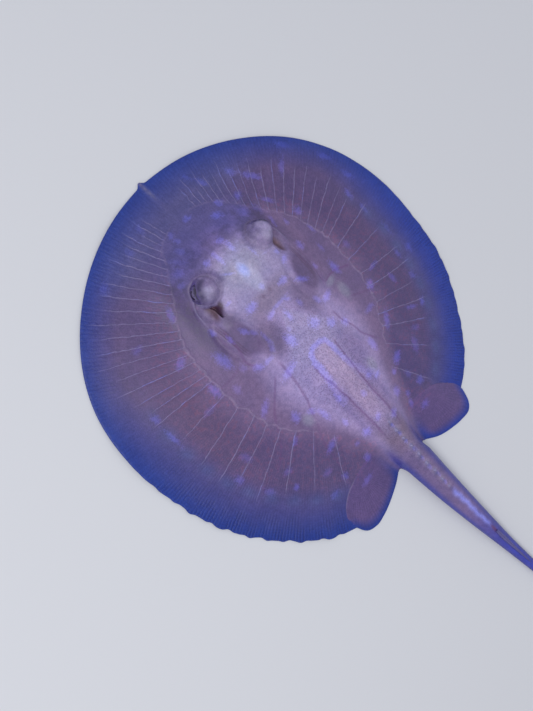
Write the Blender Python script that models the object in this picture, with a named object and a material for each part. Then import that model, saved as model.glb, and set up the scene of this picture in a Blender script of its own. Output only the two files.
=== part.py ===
"""Freshwater stingray (Potamotrygon), pale form, at life size and lying flat on its belly.

The animal faces -Y, so +X is its left side, and its belly rests on Z = 0. The origin is on the belly,
under the shoulders. Every length is a number of units, and the disc is 300 units wide: at the disc
width below, a unit is one millimetre.

The disc is a height field, back() above and underside() below, over a plan made of a central body
(head and trunk) with a pectoral fin round each side. Each part is one patch of that plan, closed by
walls, and neighbouring parts keep the gap SEAM between them.
"""

import math

import bmesh
import bpy
import numpy as np
from mathutils import Matrix

# ---- Driving dimensions, in metres -----------------------------------------------------------
DISC_WIDTH = 0.300
UNIT = DISC_WIDTH / 300
SEAM = 0.0003

# ---- Plan of the disc, in units --------------------------------------------------------------
# (bearing from the snout in degrees, distance of the margin from the origin)
PECTORAL_REACH = (
    (0, 167.4), (30, 164.8), (60, 160.4), (75, 154.6), (90, 149.8), (105, 148.6), (120, 148.7),
    (135, 150.0), (145, 151.2), (150.2, 150.9),
)
PELVIC_REACH = (
    (150.2, 150.9), (153.4, 158.8), (156.5, 160.4), (160, 156.2), (164, 149.6), (168.5, 141.4),
    (173.5, 130.8), (180, 127.0),
)
# (y, half width of the central body)
BODY_HALF_WIDTH = (
    (-168, 8), (-150, 17), (-125, 35), (-100, 47), (-75, 53), (-45, 54), (-18, 47), (10, 39),
    (40, 31), (70, 24), (90, 20.5), (104, 18), (130, 15),
)
# The left pelvic fin is drawn in and the right one reaches back, each by this share.
PELVIC_UNEVENNESS = 0.02
# Where the pelvic fin's fan starts: from the body's side out to the notch in the margin.
PELVIC_FRONT = ((19.4, 96), (35, 97.5), (50, 100.4), (62, 105.4), (71, 112.5), (75.8, 121), (75.0, 130.9))
SNOUT_Y = -166.5
SHOULDER_Y = -18
PELVIC_ROOT_Y = 96
TAIL_ROOT_Y = 104
PELVIC_REAR_Y = 127.5
FIN_SHARES = (0, 0.12, 0.26, 0.4, 0.54, 0.68, 0.8, 0.91, 1.0)
SNOUT_KNOB_REACH = 2.6
SNOUT_KNOB_WIDTH = 3.2
HEAD_ROWS = 27
TRUNK_ROWS = 16

# ---- Thickness of the disc, in units ---------------------------------------------------------
MARGIN_THICKNESS = 1.2
LENS_HEIGHT = 16.5
LENS_POWER = 1.5
# (y, height of the back above the lens, its half width, how square its section is)
BACK_DOME = (
    (-168, 0.2, 20, 2.0), (-150, 1.8, 32, 2.4), (-130, 6.2, 40, 2.8), (-115, 11.4, 43, 3.0),
    (-100, 17.0, 44, 3.2), (-85, 19.6, 45, 3.2), (-70, 18.8, 45, 3.0), (-50, 15.2, 46, 2.8),
    (-20, 12.6, 42, 2.5), (0, 10.4, 38, 2.2), (30, 8.2, 33, 2.1), (60, 9.2, 27, 2.1),
    (90, 12.8, 18.5, 2.4), (104, 13.8, 15.5, 2.8), (117, 5.0, 15.0, 2.6), (130, 0.8, 14.0, 2.4),
)
RIDGE_HEIGHT = 1.4
RIDGE_HALF_WIDTH = 6.5

# ---- Head, in units --------------------------------------------------------------------------
EYE_PLACE = (31.4, -86.0, 26.6)
EYE_RADIUS = 7.8
ORBIT_PLACE = (28.4, -85.0, 25.4)
ORBIT_HALF_SIZE = (9.4, 10.6, 10.6)
SPIRACLE_PLACE = (36.6, -71.0, 23.0)
SPIRACLE_HALF_SIZE = (5.6, 9.0, 8.4)
SPIRACLE_TOE_OUT = -14
GILL_PAD_PLACE = (34.0, -43.0)
GILL_PAD_HALF_SIZE = (11.0, 21.0)
GILL_PAD_TOE_OUT = 9
GILL_PAD_HEIGHT = 2.0
GILL_GROOVE_DEPTH = 1.0
MOUTH_Y = -106
MOUTH_HALF_WIDTH = 12
NOSTRIL_PLACE = (10.5, -115.5)
GILL_SLITS = 5
FIRST_GILL_SLIT = (31.0, -78.0, 4.6)
LAST_GILL_SLIT = (21.5, -42.0, 3.2)
CLOACA_Y = 96
UNDERSIDE_CUT_DEPTH = 1.6

# ---- Tail and sting, in units ----------------------------------------------------------------
# (y, half width, height, sideways offset of the middle)
TAIL = (
    (104, 16.6, 18.4, 0), (116, 15.2, 17.4, 0), (130, 14.0, 16.2, 0), (150, 12.9, 14.6, -0.2),
    (180, 11.2, 12.6, -0.8), (205, 9.6, 11.0, -1.7), (230, 7.9, 9.4, -2.9), (250, 6.5, 7.6, -4.0),
    (270, 5.4, 6.4, -5.2), (295, 4.3, 5.2, -6.8), (330, 3.2, 4.0, -9.4), (365, 2.2, 2.9, -12.4),
    (392, 1.3, 1.9, -15.0), (400, 0.5, 0.9, -15.8),
)
TAIL_CUTS = (104, 168, 250, 400)
STING_BASE_Y = 234
STING_LENGTH = 52
STING_HALF_WIDTH = 1.7
STING_THICKNESS = 1.3
STING_BARBS = 11

SKIN_COLOURS = {
    "head": (0.36, 0.31, 0.44),
    "trunk": (0.38, 0.31, 0.43),
    "fin": (0.19, 0.16, 0.26),
    "pelvic": (0.19, 0.14, 0.24),
    "tail": (0.27, 0.22, 0.38),
    "eye": (0.50, 0.44, 0.56),
    "sting": (0.44, 0.36, 0.46),
}


# ---- Curves and fields -----------------------------------------------------------------------
def curve(anchors, at, column=1):
    """The smooth curve through the anchors' given column, read at a place or places."""
    table = np.array(anchors, float)
    places, values = table[:, 0], table[:, column]
    slopes = np.gradient(values, places)
    at = np.clip(at, places[0], places[-1])
    i = np.clip(np.searchsorted(places, at) - 1, 0, len(places) - 2)
    span = places[i + 1] - places[i]
    t = (at - places[i]) / span
    start = (1 + 2 * t) * (1 - t) ** 2 * values[i] + t * (1 - t) ** 2 * span * slopes[i]
    end = t * t * (3 - 2 * t) * values[i + 1] + t * t * (t - 1) * span * slopes[i + 1]
    return start + end


def along(points, share):
    """The point at a share, 0 to 1, of the way along the smooth line through the points."""
    places = np.linspace(0, 1, len(points))
    return np.array([curve(np.column_stack((places, column)), share) for column in np.transpose(points)])


def ease(low, high, at):
    """0 below low, 1 above high, and smooth between."""
    t = np.clip((at - low) / (high - low), 0, 1)
    return t * t * (3 - 2 * t)


def bearing_of(x, y):
    return np.degrees(np.arctan2(np.abs(x), -y))


def reach(bearing, side=0):
    """Distance of the disc's margin from the origin, with the small knob at the snout's tip."""
    from_snout = np.radians(bearing) * PECTORAL_REACH[0][1]
    knob = SNOUT_KNOB_REACH * np.exp(-((from_snout / SNOUT_KNOB_WIDTH) ** 2))
    pectoral = curve(PECTORAL_REACH, bearing) + knob
    drawn_in = PELVIC_UNEVENNESS * side * ease(150.2, 157, bearing) * (1 - ease(166, 177, bearing))
    pelvic = curve(PELVIC_REACH, bearing) * (1 - drawn_in)
    return np.where(bearing <= PELVIC_REACH[0][0], pectoral, pelvic)


def margin_point(bearing, side=0):
    """The margin's point at a bearing, given on the left side's axes."""
    far = float(reach(bearing, side))
    return far * math.sin(math.radians(bearing)), -far * math.cos(math.radians(bearing))


def turned(x, y, place, toe_out):
    """Offsets from a place on the left side, along axes whose front end is turned outwards."""
    dx, dy = np.abs(x) - place[0], y - place[1]
    a = math.radians(toe_out)
    return dx * math.cos(a) + dy * math.sin(a), dy * math.cos(a) - dx * math.sin(a)


def gill_pads(x, y):
    """The two raised pads over the gill chambers, with the groove that runs round each."""
    across, along = turned(x, y, GILL_PAD_PLACE, GILL_PAD_TOE_OUT)
    d = np.hypot(across / GILL_PAD_HALF_SIZE[0], along / GILL_PAD_HALF_SIZE[1])
    pad = GILL_PAD_HEIGHT * (1 - ease(0.55, 1.05, d))
    groove = GILL_GROOVE_DEPTH * np.exp(-(((d - 1.12) / 0.16) ** 2))
    return pad - groove


def back(x, y):
    """Height of the disc's upper surface."""
    share = np.clip(np.hypot(x, y) / reach(bearing_of(x, y), np.sign(x)), 0, 1)
    lens = MARGIN_THICKNESS + LENS_HEIGHT * (1 - share**2) ** LENS_POWER
    half_width = curve(BACK_DOME, y, 2)
    squareness = curve(BACK_DOME, y, 3)
    dome = curve(BACK_DOME, y, 1) * np.exp(-((np.abs(x) / half_width) ** squareness))
    along_spine = ease(-30, 10, y) * (1 - ease(80, 125, y))
    ridge = RIDGE_HEIGHT * along_spine * np.exp(-((x / RIDGE_HALF_WIDTH) ** 2))
    return lens + dome + ridge + gill_pads(x, y) + underside(x, y)


def underside(x, y):
    """Height of the disc's lower surface: flat, but for slow waves along the pectoral fins' rims."""
    bearing = bearing_of(x, y)
    share = np.hypot(x, y) / reach(bearing, np.sign(x))
    long_wave = np.sin(np.radians(5 * bearing + 40 * np.sign(x)))
    short_wave = np.sin(np.radians(11 * bearing))
    lift = np.clip(0.9 + 0.7 * long_wave + 0.5 * short_wave, 0, None)
    return lift * ease(0.84, 1.0, share) * ease(2, 14, bearing) * (1 - ease(140, 150, bearing))


# ---- Solids ----------------------------------------------------------------------------------
def material(name, colour, roughness=0.5):
    made = bpy.data.materials.get(name) or bpy.data.materials.new(name)
    made.use_nodes = True
    shader = made.node_tree.nodes["Principled BSDF"]
    shader.inputs["Base Color"].default_value = (*colour, 1.0)
    shader.inputs["Roughness"].default_value = roughness
    return made


def add_object(name, mesh, kind, smooth_angle=40):
    mesh.materials.append(material(kind, SKIN_COLOURS[kind]))
    mesh.shade_smooth()
    mesh.set_sharp_from_angle(angle=math.radians(smooth_angle))
    made = bpy.data.objects.new(name, mesh)
    bpy.context.scene.collection.objects.link(made)
    return made


def mesh_of(bm, name):
    """Turns a bmesh in units into a mesh in metres, with its faces pointing out."""
    bmesh.ops.remove_doubles(bm, verts=bm.verts, dist=0.01)
    bmesh.ops.scale(bm, vec=(UNIT, UNIT, UNIT), verts=bm.verts)
    bmesh.ops.recalc_face_normals(bm, faces=bm.faces)
    mesh = bpy.data.meshes.new(name)
    bm.to_mesh(mesh)
    bm.free()
    return mesh


def face(bm, corners):
    """A face on the corners that differ, if three or more do."""
    kept = list(dict.fromkeys(corners))
    if len(kept) > 2:
        bm.faces.new(kept)


def slab(name, kind, lines, top, bottom, bottom_columns):
    """One closed part over a grid of plan points.

    lines is a list of rows of (x, y). The upper surface uses every column, and the flat lower one
    only bottom_columns. A row whose points all meet closes to an upright edge.
    """
    bm = bmesh.new()

    def row(points, height):
        made = {}
        for x, y in points:
            key = (round(x, 3), round(y, 3))
            if key not in made:
                made[key] = bm.verts.new((x, y, float(height(x, y))))
            yield made[key]

    upper = [list(row(points, top)) for points in lines]
    lower = [list(row([points[j] for j in bottom_columns], bottom)) for points in lines]
    for i in range(len(lines) - 1):
        for rows, flip in ((upper, False), (lower, True)):
            for j in range(len(rows[i]) - 1):
                corners = [rows[i][j], rows[i][j + 1], rows[i + 1][j + 1], rows[i + 1][j]]
                face(bm, corners[::-1] if flip else corners)
        for j in (0, -1):
            face(bm, [upper[i][j], upper[i + 1][j], lower[i + 1][j], lower[i][j]])
    for i in (0, -1):
        if len(upper[i]) == len(lower[i]):
            for j in range(len(upper[i]) - 1):
                face(bm, [upper[i][j], upper[i][j + 1], lower[i][j + 1], lower[i][j]])
        else:
            face(bm, upper[i] + lower[i][::-1])
    return add_object(name, mesh_of(bm, name), kind)


def ellipsoid(name, place, half_size, toe_out=0, side=1, grow=0.0, segments=20, rings=12):
    """A helper solid for one side: an ellipsoid turned about the vertical."""
    bm = bmesh.new()
    bmesh.ops.create_uvsphere(bm, u_segments=segments, v_segments=rings, radius=1)
    bmesh.ops.scale(bm, vec=[s + grow for s in half_size], verts=bm.verts)
    bmesh.ops.rotate(bm, matrix=Matrix.Rotation(math.radians(toe_out) * side, 3, "Z"), verts=bm.verts)
    bmesh.ops.translate(bm, vec=(side * place[0], place[1], place[2]), verts=bm.verts)
    return mesh_of(bm, name)


def cutter(name, mesh):
    made = bpy.data.objects.new(name, mesh)
    bpy.context.scene.collection.objects.link(made)
    made.hide_render = True
    made.display_type = "WIRE"
    return made


def boolean(target, helper, operation):
    modifier = target.modifiers.new(helper.name, "BOOLEAN")
    modifier.object = helper
    modifier.operation = operation
    modifier.solver = "EXACT"


# ---- The central body ------------------------------------------------------------------------
def stations(front, rear, rows):
    return list(np.linspace(front, rear, rows))


HEAD_STATIONS = stations(SNOUT_Y, SHOULDER_Y, HEAD_ROWS)
TRUNK_STATIONS = stations(SHOULDER_Y, PELVIC_ROOT_Y, TRUNK_ROWS)


def body_edge(y, offset):
    """The point of the join between body and fin at y, moved outwards; at the snout, on the margin."""
    x = float(curve(BODY_HALF_WIDTH, y)) + offset
    if y > SNOUT_Y:
        return x, y
    return x, margin_y(x)


def margin_y(x):
    """Where the disc's front margin stands at x."""
    y = SNOUT_Y
    for _ in range(20):
        y = -math.sqrt(float(reach(bearing_of(x, y))) ** 2 - x**2)
    return y


def body_lines(ys, columns, first_y=None, last_y=None):
    """Rows of plan points across the central body; the end rows can be drawn in to leave a seam."""
    lines = []
    for y in ys:
        half_width, _ = body_edge(y, -SEAM / UNIT / 2)
        row_y = {ys[0]: first_y, ys[-1]: last_y}.get(y) or y
        xs = [half_width * math.copysign(abs(s) ** 0.85, s) for s in np.linspace(-1, 1, columns)]
        lines.append([(x, margin_y(x) if y == SNOUT_Y else row_y) for x in xs])
    return lines


def underside_slots():
    """Cutters for the mouth, the nostrils and the gill slits, joined as one helper."""
    bm = bmesh.new()

    def slot(x, y, half_width, half_length, turn=0.0):
        made = bmesh.ops.create_uvsphere(bm, u_segments=10, v_segments=4, radius=1)["verts"]
        bmesh.ops.scale(bm, vec=(half_width, half_length, UNDERSIDE_CUT_DEPTH), verts=made)
        bmesh.ops.rotate(bm, matrix=Matrix.Rotation(turn, 3, "Z"), verts=made)
        bmesh.ops.translate(bm, vec=(x, y, 0), verts=made)

    slot(0, MOUTH_Y, MOUTH_HALF_WIDTH, 2.0)
    for side in (1, -1):
        slot(side * NOSTRIL_PLACE[0], NOSTRIL_PLACE[1], 3.0, 1.6, side * math.radians(35))
        for i in range(GILL_SLITS):
            t = i / (GILL_SLITS - 1)
            x, y, half = (a + (b - a) * t for a, b in zip(FIRST_GILL_SLIT, LAST_GILL_SLIT))
            slot(side * x, y, half, 1.1, side * math.radians(-14))
    return cutter("underside_slots", mesh_of(bm, "underside_slots"))


def build_head():
    columns = 23
    lines = body_lines(HEAD_STATIONS, columns, last_y=SHOULDER_Y - SEAM / UNIT / 2)
    head = slab("head", "head", lines, back, lambda x, y: 0.0, (0, columns - 1))
    for side, word in ((1, "left"), (-1, "right")):
        orbit = ellipsoid(f"orbit_{word}", ORBIT_PLACE, ORBIT_HALF_SIZE, side=side)
        boolean(head, cutter(f"orbit_{word}", orbit), "UNION")
    for side, word in ((1, "left"), (-1, "right")):
        eye = ellipsoid(f"eye_socket_{word}", EYE_PLACE, (EYE_RADIUS,) * 3, side=side, grow=SEAM / UNIT)
        boolean(head, cutter(f"eye_socket_{word}", eye), "DIFFERENCE")
        hole = ellipsoid(f"spiracle_{word}", SPIRACLE_PLACE, SPIRACLE_HALF_SIZE, SPIRACLE_TOE_OUT, side)
        boolean(head, cutter(f"spiracle_{word}", hole), "DIFFERENCE")
    boolean(head, underside_slots(), "DIFFERENCE")


def build_trunk():
    columns = 17
    seam = SEAM / UNIT / 2
    lines = body_lines([*TRUNK_STATIONS, TAIL_ROOT_Y], columns, SHOULDER_Y + seam, TAIL_ROOT_Y - seam)
    trunk = slab("trunk", "trunk", lines, back, lambda x, y: 0.0, (0, columns - 1))
    bm = bmesh.new()
    bmesh.ops.create_uvsphere(bm, u_segments=12, v_segments=6, radius=1)
    bmesh.ops.scale(bm, vec=(2.2, 4.5, UNDERSIDE_CUT_DEPTH), verts=bm.verts)
    bmesh.ops.translate(bm, vec=(0, CLOACA_Y, 0), verts=bm.verts)
    boolean(trunk, cutter("cloaca", mesh_of(bm, "cloaca")), "DIFFERENCE")


def build_eyes():
    for side, word in ((1, "left"), (-1, "right")):
        add_object(f"eye_{word}", ellipsoid(f"eye_{word}", EYE_PLACE, (EYE_RADIUS,) * 3, side=side), "eye", 80)


# ---- Fins ------------------------------------------------------------------------------------
def pelvic_front(share, offset):
    """The point at a share of the way along the pelvic fin's front edge, moved into the fin."""
    x, y = along(PELVIC_FRONT, share)
    dx, dy = along(PELVIC_FRONT, share + 1e-3) - along(PELVIC_FRONT, share - 1e-3)
    return x - dy / math.hypot(dx, dy) * offset, y + dx / math.hypot(dx, dy) * offset


def build_pectoral_fin(side, word):
    """A crescent from the snout to the pelvic fin, between the central body and the disc's margin."""
    seam = SEAM / UNIT / 2
    rear_row = np.array([pelvic_front(share, -seam) for share in FIN_SHARES])
    rear_row[0] += (seam, 0)
    inner = [body_edge(y, seam) for y in HEAD_STATIONS + TRUNK_STATIONS[1:-1]] + [tuple(rear_row[0])]
    rear_bow = rear_row - rear_row[0] - np.outer(FIN_SHARES, rear_row[-1] - rear_row[0])
    bearings = np.linspace(bearing_of(*inner[0]), bearing_of(*rear_row[-1]), len(inner))
    lines = []
    for i, (start, bearing) in enumerate(zip(inner, bearings)):
        end = start if i == 0 else margin_point(bearing)
        line = start + np.outer(FIN_SHARES, np.subtract(end, start))
        line += rear_bow * ease(0.72, 1, i / (len(inner) - 1))
        lines.append([(side * x, y) for x, y in line])
    slab(f"pectoral_fin_{word}", "fin", lines, back, underside, range(len(FIN_SHARES)))


def build_pelvic_fin(side, word):
    """A rounded fan behind the pectoral fin, from the body's side and the tail's root."""
    seam = SEAM / UNIT / 2
    root = [body_edge(y, seam) for y in np.linspace(PELVIC_ROOT_Y, TAIL_ROOT_Y, 4)]
    root += [(float(curve(TAIL, y)) + 2 * seam, y) for y in np.linspace(TAIL_ROOT_Y + 3, PELVIC_REAR_Y, 6)]
    rim = [pelvic_front(share, seam) for share in FIN_SHARES[:-1]]
    rear_bearings = np.linspace(PELVIC_REACH[0][0] + 1e-6, bearing_of(*root[-1]), 13)
    rim += [margin_point(bearing, side) for bearing in rear_bearings]
    rim[0] = root[0]
    lines = []
    for t, rim_point in zip(np.linspace(0, 1, len(rim)), rim):
        start = along(root, t)
        line = start + np.outer((0, 0.25, 0.5, 0.75, 0.9, 1), rim_point - start)
        lines.append([(side * x, y) for x, y in line])
    slab(f"pelvic_fin_{word}", "pelvic", lines, back, lambda x, y: 0.0, (0, 5))


# ---- Tail and sting --------------------------------------------------------------------------
def tail_section(y, count=16):
    """The tail's outline at y: round above, flatter below, and widest low on the sides."""
    half_width, height, middle = (float(curve(TAIL, y, k)) for k in (1, 2, 3))
    widest = 0.38 * height
    points = []
    for i in range(count):
        a = 2 * math.pi * i / count
        sine, cosine = math.sin(a), math.cos(a)
        if sine >= 0:
            points.append((middle + half_width * cosine, y, widest + (height - widest) * sine))
        else:
            out = math.copysign(abs(cosine) ** 0.75, cosine)
            points.append((middle + half_width * out, y, widest * (1 - abs(sine) ** 0.6)))
    return points


def build_tail():
    for word, start, end, rows in zip(("base", "middle", "tip"), TAIL_CUTS, TAIL_CUTS[1:], (8, 9, 13)):
        bm = bmesh.new()
        first = start + SEAM / UNIT / 2
        last = end - (0 if end == TAIL_CUTS[-1] else SEAM / UNIT / 2)
        rings = [[bm.verts.new(p) for p in tail_section(y)] for y in np.linspace(first, last, rows)]
        for a, b in zip(rings, rings[1:]):
            for j in range(len(a)):
                k = (j + 1) % len(a)
                bm.faces.new((a[j], a[k], b[k], b[j]))
        bm.faces.new(rings[0][::-1])
        bm.faces.new(rings[-1])
        add_object(f"tail_{word}", mesh_of(bm, f"tail_{word}"), "tail", 60)


def build_sting():
    """The barbed spine that lies along the top of the tail, a hair above it."""
    bm = bmesh.new()
    rows = 2 * STING_BARBS + 1
    rings = []
    for i in range(rows):
        t = i / (rows - 1)
        y = STING_BASE_Y + STING_LENGTH * t
        _, height, middle = (float(curve(TAIL, y, k)) for k in (1, 2, 3))
        barb = 0.45 if i % 2 and t < 0.9 else 0.0
        half_width = (STING_HALF_WIDTH + barb) * (1 - 0.9 * t**1.6)
        thickness = STING_THICKNESS * (1 - 0.75 * t)
        low = height + SEAM / UNIT
        rings.append([bm.verts.new(p) for p in (
            (middle - half_width, y, low + 0.45 * thickness), (middle, y, low),
            (middle + half_width, y, low + 0.45 * thickness), (middle, y, low + thickness),
        )])
    for a, b in zip(rings, rings[1:]):
        for j in range(4):
            k = (j + 1) % 4
            bm.faces.new((a[j], a[k], b[k], b[j]))
    bm.faces.new(rings[0][::-1])
    bm.faces.new(rings[-1])
    add_object("sting", mesh_of(bm, "sting"), "sting", 20)


def main():
    for old in list(bpy.data.objects):
        bpy.data.objects.remove(old)
    build_head()
    build_trunk()
    build_eyes()
    for side, word in ((1, "left"), (-1, "right")):
        build_pectoral_fin(side, word)
        build_pelvic_fin(side, word)
    build_tail()
    build_sting()


main()
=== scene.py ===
"""Freshwater stingray (Potamotrygon), pale form: the skin, eyes and spine over the fixed solids.

The animal faces -Y, +X is its left side and its belly rests on Z = 0. Lengths are in units: the body
is 570 units from the snout to the tail's tip, and one unit is a millimetre at the frame's size.

The skin is one mesh. Its plan (disc, pelvic fins and tail) is triangulated twice, for the upper and
the lower side, and the two share the plan's outline. Height functions lift the points, and the orbits
are then swung out as domes. What the skin's markings follow (canals, vessels, blotches, fin rays) is
worked out for each point and kept in mesh attributes, which the skin's material reads.
"""

import math

import bmesh
import bpy
import numpy as np
from mathutils import Matrix, Vector
from mathutils.geometry import delaunay_2d_cdt


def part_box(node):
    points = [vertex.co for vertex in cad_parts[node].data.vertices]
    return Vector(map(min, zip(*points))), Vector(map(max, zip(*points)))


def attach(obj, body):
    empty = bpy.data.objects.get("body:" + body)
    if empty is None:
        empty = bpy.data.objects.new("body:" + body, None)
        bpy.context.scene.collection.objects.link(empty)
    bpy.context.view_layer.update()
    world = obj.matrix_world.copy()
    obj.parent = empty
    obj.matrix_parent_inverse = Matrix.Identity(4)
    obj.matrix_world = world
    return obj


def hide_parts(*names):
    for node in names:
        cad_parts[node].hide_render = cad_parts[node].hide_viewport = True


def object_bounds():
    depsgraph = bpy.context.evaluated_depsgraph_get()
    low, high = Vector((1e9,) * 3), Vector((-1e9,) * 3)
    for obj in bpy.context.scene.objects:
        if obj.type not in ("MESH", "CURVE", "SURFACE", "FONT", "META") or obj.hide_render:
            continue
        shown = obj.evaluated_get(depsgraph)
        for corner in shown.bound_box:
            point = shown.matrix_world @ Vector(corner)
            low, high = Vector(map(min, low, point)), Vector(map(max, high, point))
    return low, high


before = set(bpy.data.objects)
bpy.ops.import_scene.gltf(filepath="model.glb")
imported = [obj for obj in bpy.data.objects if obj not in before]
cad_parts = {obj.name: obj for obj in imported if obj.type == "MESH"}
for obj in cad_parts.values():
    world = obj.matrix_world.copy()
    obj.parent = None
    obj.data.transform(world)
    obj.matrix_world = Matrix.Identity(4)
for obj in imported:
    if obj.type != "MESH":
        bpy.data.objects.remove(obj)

CAD_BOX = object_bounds()
BODY_LENGTH = 570
UNIT = (CAD_BOX[1][1] - CAD_BOX[0][1]) / BODY_LENGTH
RNG = np.random.default_rng(7)


# ==== Curves ==================================================================================
def curve(anchors, at, column=1):
    """The smooth curve through the anchors' given column, read at a place or places."""
    table = np.array(anchors, float)
    places, values = table[:, 0], table[:, column]
    slopes = np.gradient(values, places)
    at = np.clip(at, places[0], places[-1])
    i = np.clip(np.searchsorted(places, at) - 1, 0, len(places) - 2)
    span = places[i + 1] - places[i]
    t = (at - places[i]) / span
    start = (1 + 2 * t) * (1 - t) ** 2 * values[i] + t * (1 - t) ** 2 * span * slopes[i]
    end = t * t * (3 - 2 * t) * values[i + 1] + t * t * (t - 1) * span * slopes[i + 1]
    return start + end


def run_along(points):
    """How far along the line each of its points lies."""
    return np.r_[0, np.cumsum(np.hypot(*np.diff(points, axis=0).T))]


def line_through(points, step):
    """Points about a step apart on the smooth line through the given ones."""
    points = np.array(points, float)
    places = run_along(points)
    at = np.linspace(0, places[-1], max(3, int(places[-1] / step)))
    return np.column_stack([curve(np.column_stack((places, column)), at) for column in points.T])


def ease(low, high, at):
    """0 below low, 1 above high, and smooth between."""
    t = np.clip((np.asarray(at, float) - low) / (high - low), 0, 1)
    return t * t * (3 - 2 * t)


def fade(low, high, at):
    """1 below low, 0 above high, and smooth between."""
    return 1 - ease(low, high, at)


def window(at, shut, opened, still_open, shut_again):
    """1 between two places, with a smooth edge at each."""
    return ease(shut, opened, at) * fade(still_open, shut_again, at)


def hump(at, middle, half_width):
    return np.exp(-(((at - middle) / half_width) ** 2))


def oval(x, y, place, half_size, turn=0.0):
    """Distance from a place: 1 on an oval of the given half size, turned by some degrees."""
    dx, dy = x - place[0], y - place[1]
    c, s = math.cos(math.radians(turn)), math.sin(math.radians(turn))
    return np.hypot((dx * c + dy * s) / half_size[0], (dy * c - dx * s) / half_size[1])


# ==== The body's form =========================================================================
PELVIC_START = 150.2
# (bearing from the snout in degrees, distance of the margin from the origin)
PECTORAL_REACH = (
    (0, 167.4), (30, 164.8), (60, 160.4), (75, 154.6), (90, 149.8), (105, 148.6), (120, 148.7),
    (135, 150.0), (145, 151.2), (PELVIC_START, 150.9),
)
PELVIC_REACH = (
    (PELVIC_START, 150.9), (153.4, 158.8), (156.5, 160.4), (160, 156.2), (164, 149.6), (168.5, 141.4),
    (173.5, 130.8), (180, 127.0),
)
PELVIC_UNEVENNESS = 0.02
PELVIC_FRONT = {
    1: ((19.4, 96), (35, 97.5), (50, 100.4), (62, 105.4), (71, 112.5), (75.8, 121), (75.0, 130.9)),
    -1: ((19.4, 96), (35, 98), (50, 102.4), (60, 108.6), (67, 116), (72.6, 123.6), (75.0, 130.9)),
}
PELVIC_STEP = 0.5
SNOUT_KNOB_REACH = 2.7
SNOUT_KNOB_WIDTH = 2.3
SNOUT_RIDGE_HEIGHT = 0.7
SCALLOP_DEPTH = 0.55
MARGIN_THICKNESS = 1.2
LENS_HEIGHT = 16.5
LENS_POWER = 1.5
# (y, height of the back above the lens, its half width, how square its section is)
BACK_DOME = (
    (-168, 0.2, 20, 2.0), (-150, 1.8, 32, 2.4), (-130, 6.2, 40, 2.8), (-115, 11.4, 43, 3.0),
    (-100, 17.0, 44, 3.2), (-85, 19.6, 45, 3.2), (-70, 18.8, 45, 3.0), (-50, 15.2, 46, 2.8),
    (-20, 12.6, 42, 2.5), (0, 10.4, 38, 2.2), (30, 8.2, 33, 2.1), (60, 9.2, 27, 2.1),
    (90, 12.8, 18.5, 2.4), (104, 13.8, 15.5, 2.8), (117, 5.0, 15.0, 2.6), (130, 0.8, 14.0, 2.4),
)
RIDGE_HEIGHT = 1.4
RIDGE_HALF_WIDTH = 6.5
GILL_PAD_PLACE = (34.0, -43.0)
GILL_PAD_HALF_SIZE = (11.0, 21.0)
GILL_PAD_TOE_OUT = 9
GILL_PAD_HEIGHT = 2.0
GILL_GROOVE_DEPTH = 1.0
# (y, half width, height, sideways offset of the middle)
TAIL = (
    (104, 16.6, 18.4, 0), (116, 15.2, 17.4, 0), (130, 14.0, 16.2, 0), (150, 12.9, 14.6, -0.2),
    (180, 11.2, 12.6, -0.8), (205, 9.6, 11.0, -1.7), (230, 7.9, 9.4, -2.9), (250, 6.5, 7.6, -4.0),
    (270, 5.4, 6.4, -5.2), (295, 4.3, 5.2, -6.8), (330, 3.2, 4.0, -9.4), (365, 2.2, 2.9, -12.4),
    (392, 1.3, 1.9, -15.0), (400, 0.5, 0.9, -15.8),
)
TAIL_START_Y = 104
TAIL_END_Y = 400
TAIL_JOIN_Y = 129.6
TAIL_WIDEST_SHARE = 0.38


def bearing_of(x, y):
    return np.degrees(np.arctan2(np.abs(x), -y))


def reach(bearing, side):
    """Distance of the disc's margin from the origin, with the small knob at the snout's tip."""
    from_snout = np.radians(bearing) * PECTORAL_REACH[0][1]
    knob = SNOUT_KNOB_REACH * hump(from_snout, 0, SNOUT_KNOB_WIDTH)
    ragged = window(bearing, 70, 105, 143, 149) * (0.75 + 0.25 * side)
    scallops = np.sin(bearing * 1.25 + side) + 0.8 * np.sin(bearing * 0.71 + 2 * side)
    scallops = scallops + 0.3 * np.sin(bearing * 2.3)
    pectoral = curve(PECTORAL_REACH, bearing) + knob + SCALLOP_DEPTH * ragged * scallops
    drawn_in = PELVIC_UNEVENNESS * side * window(bearing, PELVIC_START, 157, 166, 177)
    pelvic = curve(PELVIC_REACH, bearing) * (1 - drawn_in)
    return np.where(bearing <= PELVIC_START, pectoral, pelvic)


def margin_share(x, y):
    """0 at the origin and 1 at the margin of the disc or pelvic fin."""
    return np.hypot(x, y) / reach(bearing_of(x, y), np.sign(x))


def gill_pad_distance(x, y):
    return oval(np.abs(x), y, GILL_PAD_PLACE, GILL_PAD_HALF_SIZE, GILL_PAD_TOE_OUT)


def rim_lift(x, y):
    """Height of the disc's lower surface: flat, but for slow waves along the pectoral fins' rims."""
    bearing = bearing_of(x, y)
    long_wave = np.sin(np.radians(5 * bearing + 40 * np.sign(x)))
    short_wave = np.sin(np.radians(11 * bearing))
    lift = np.clip(0.9 + 0.7 * long_wave + 0.5 * short_wave, 0, None)
    return lift * ease(0.84, 1.0, margin_share(x, y)) * window(bearing, 2, 14, 140, 150)


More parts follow.
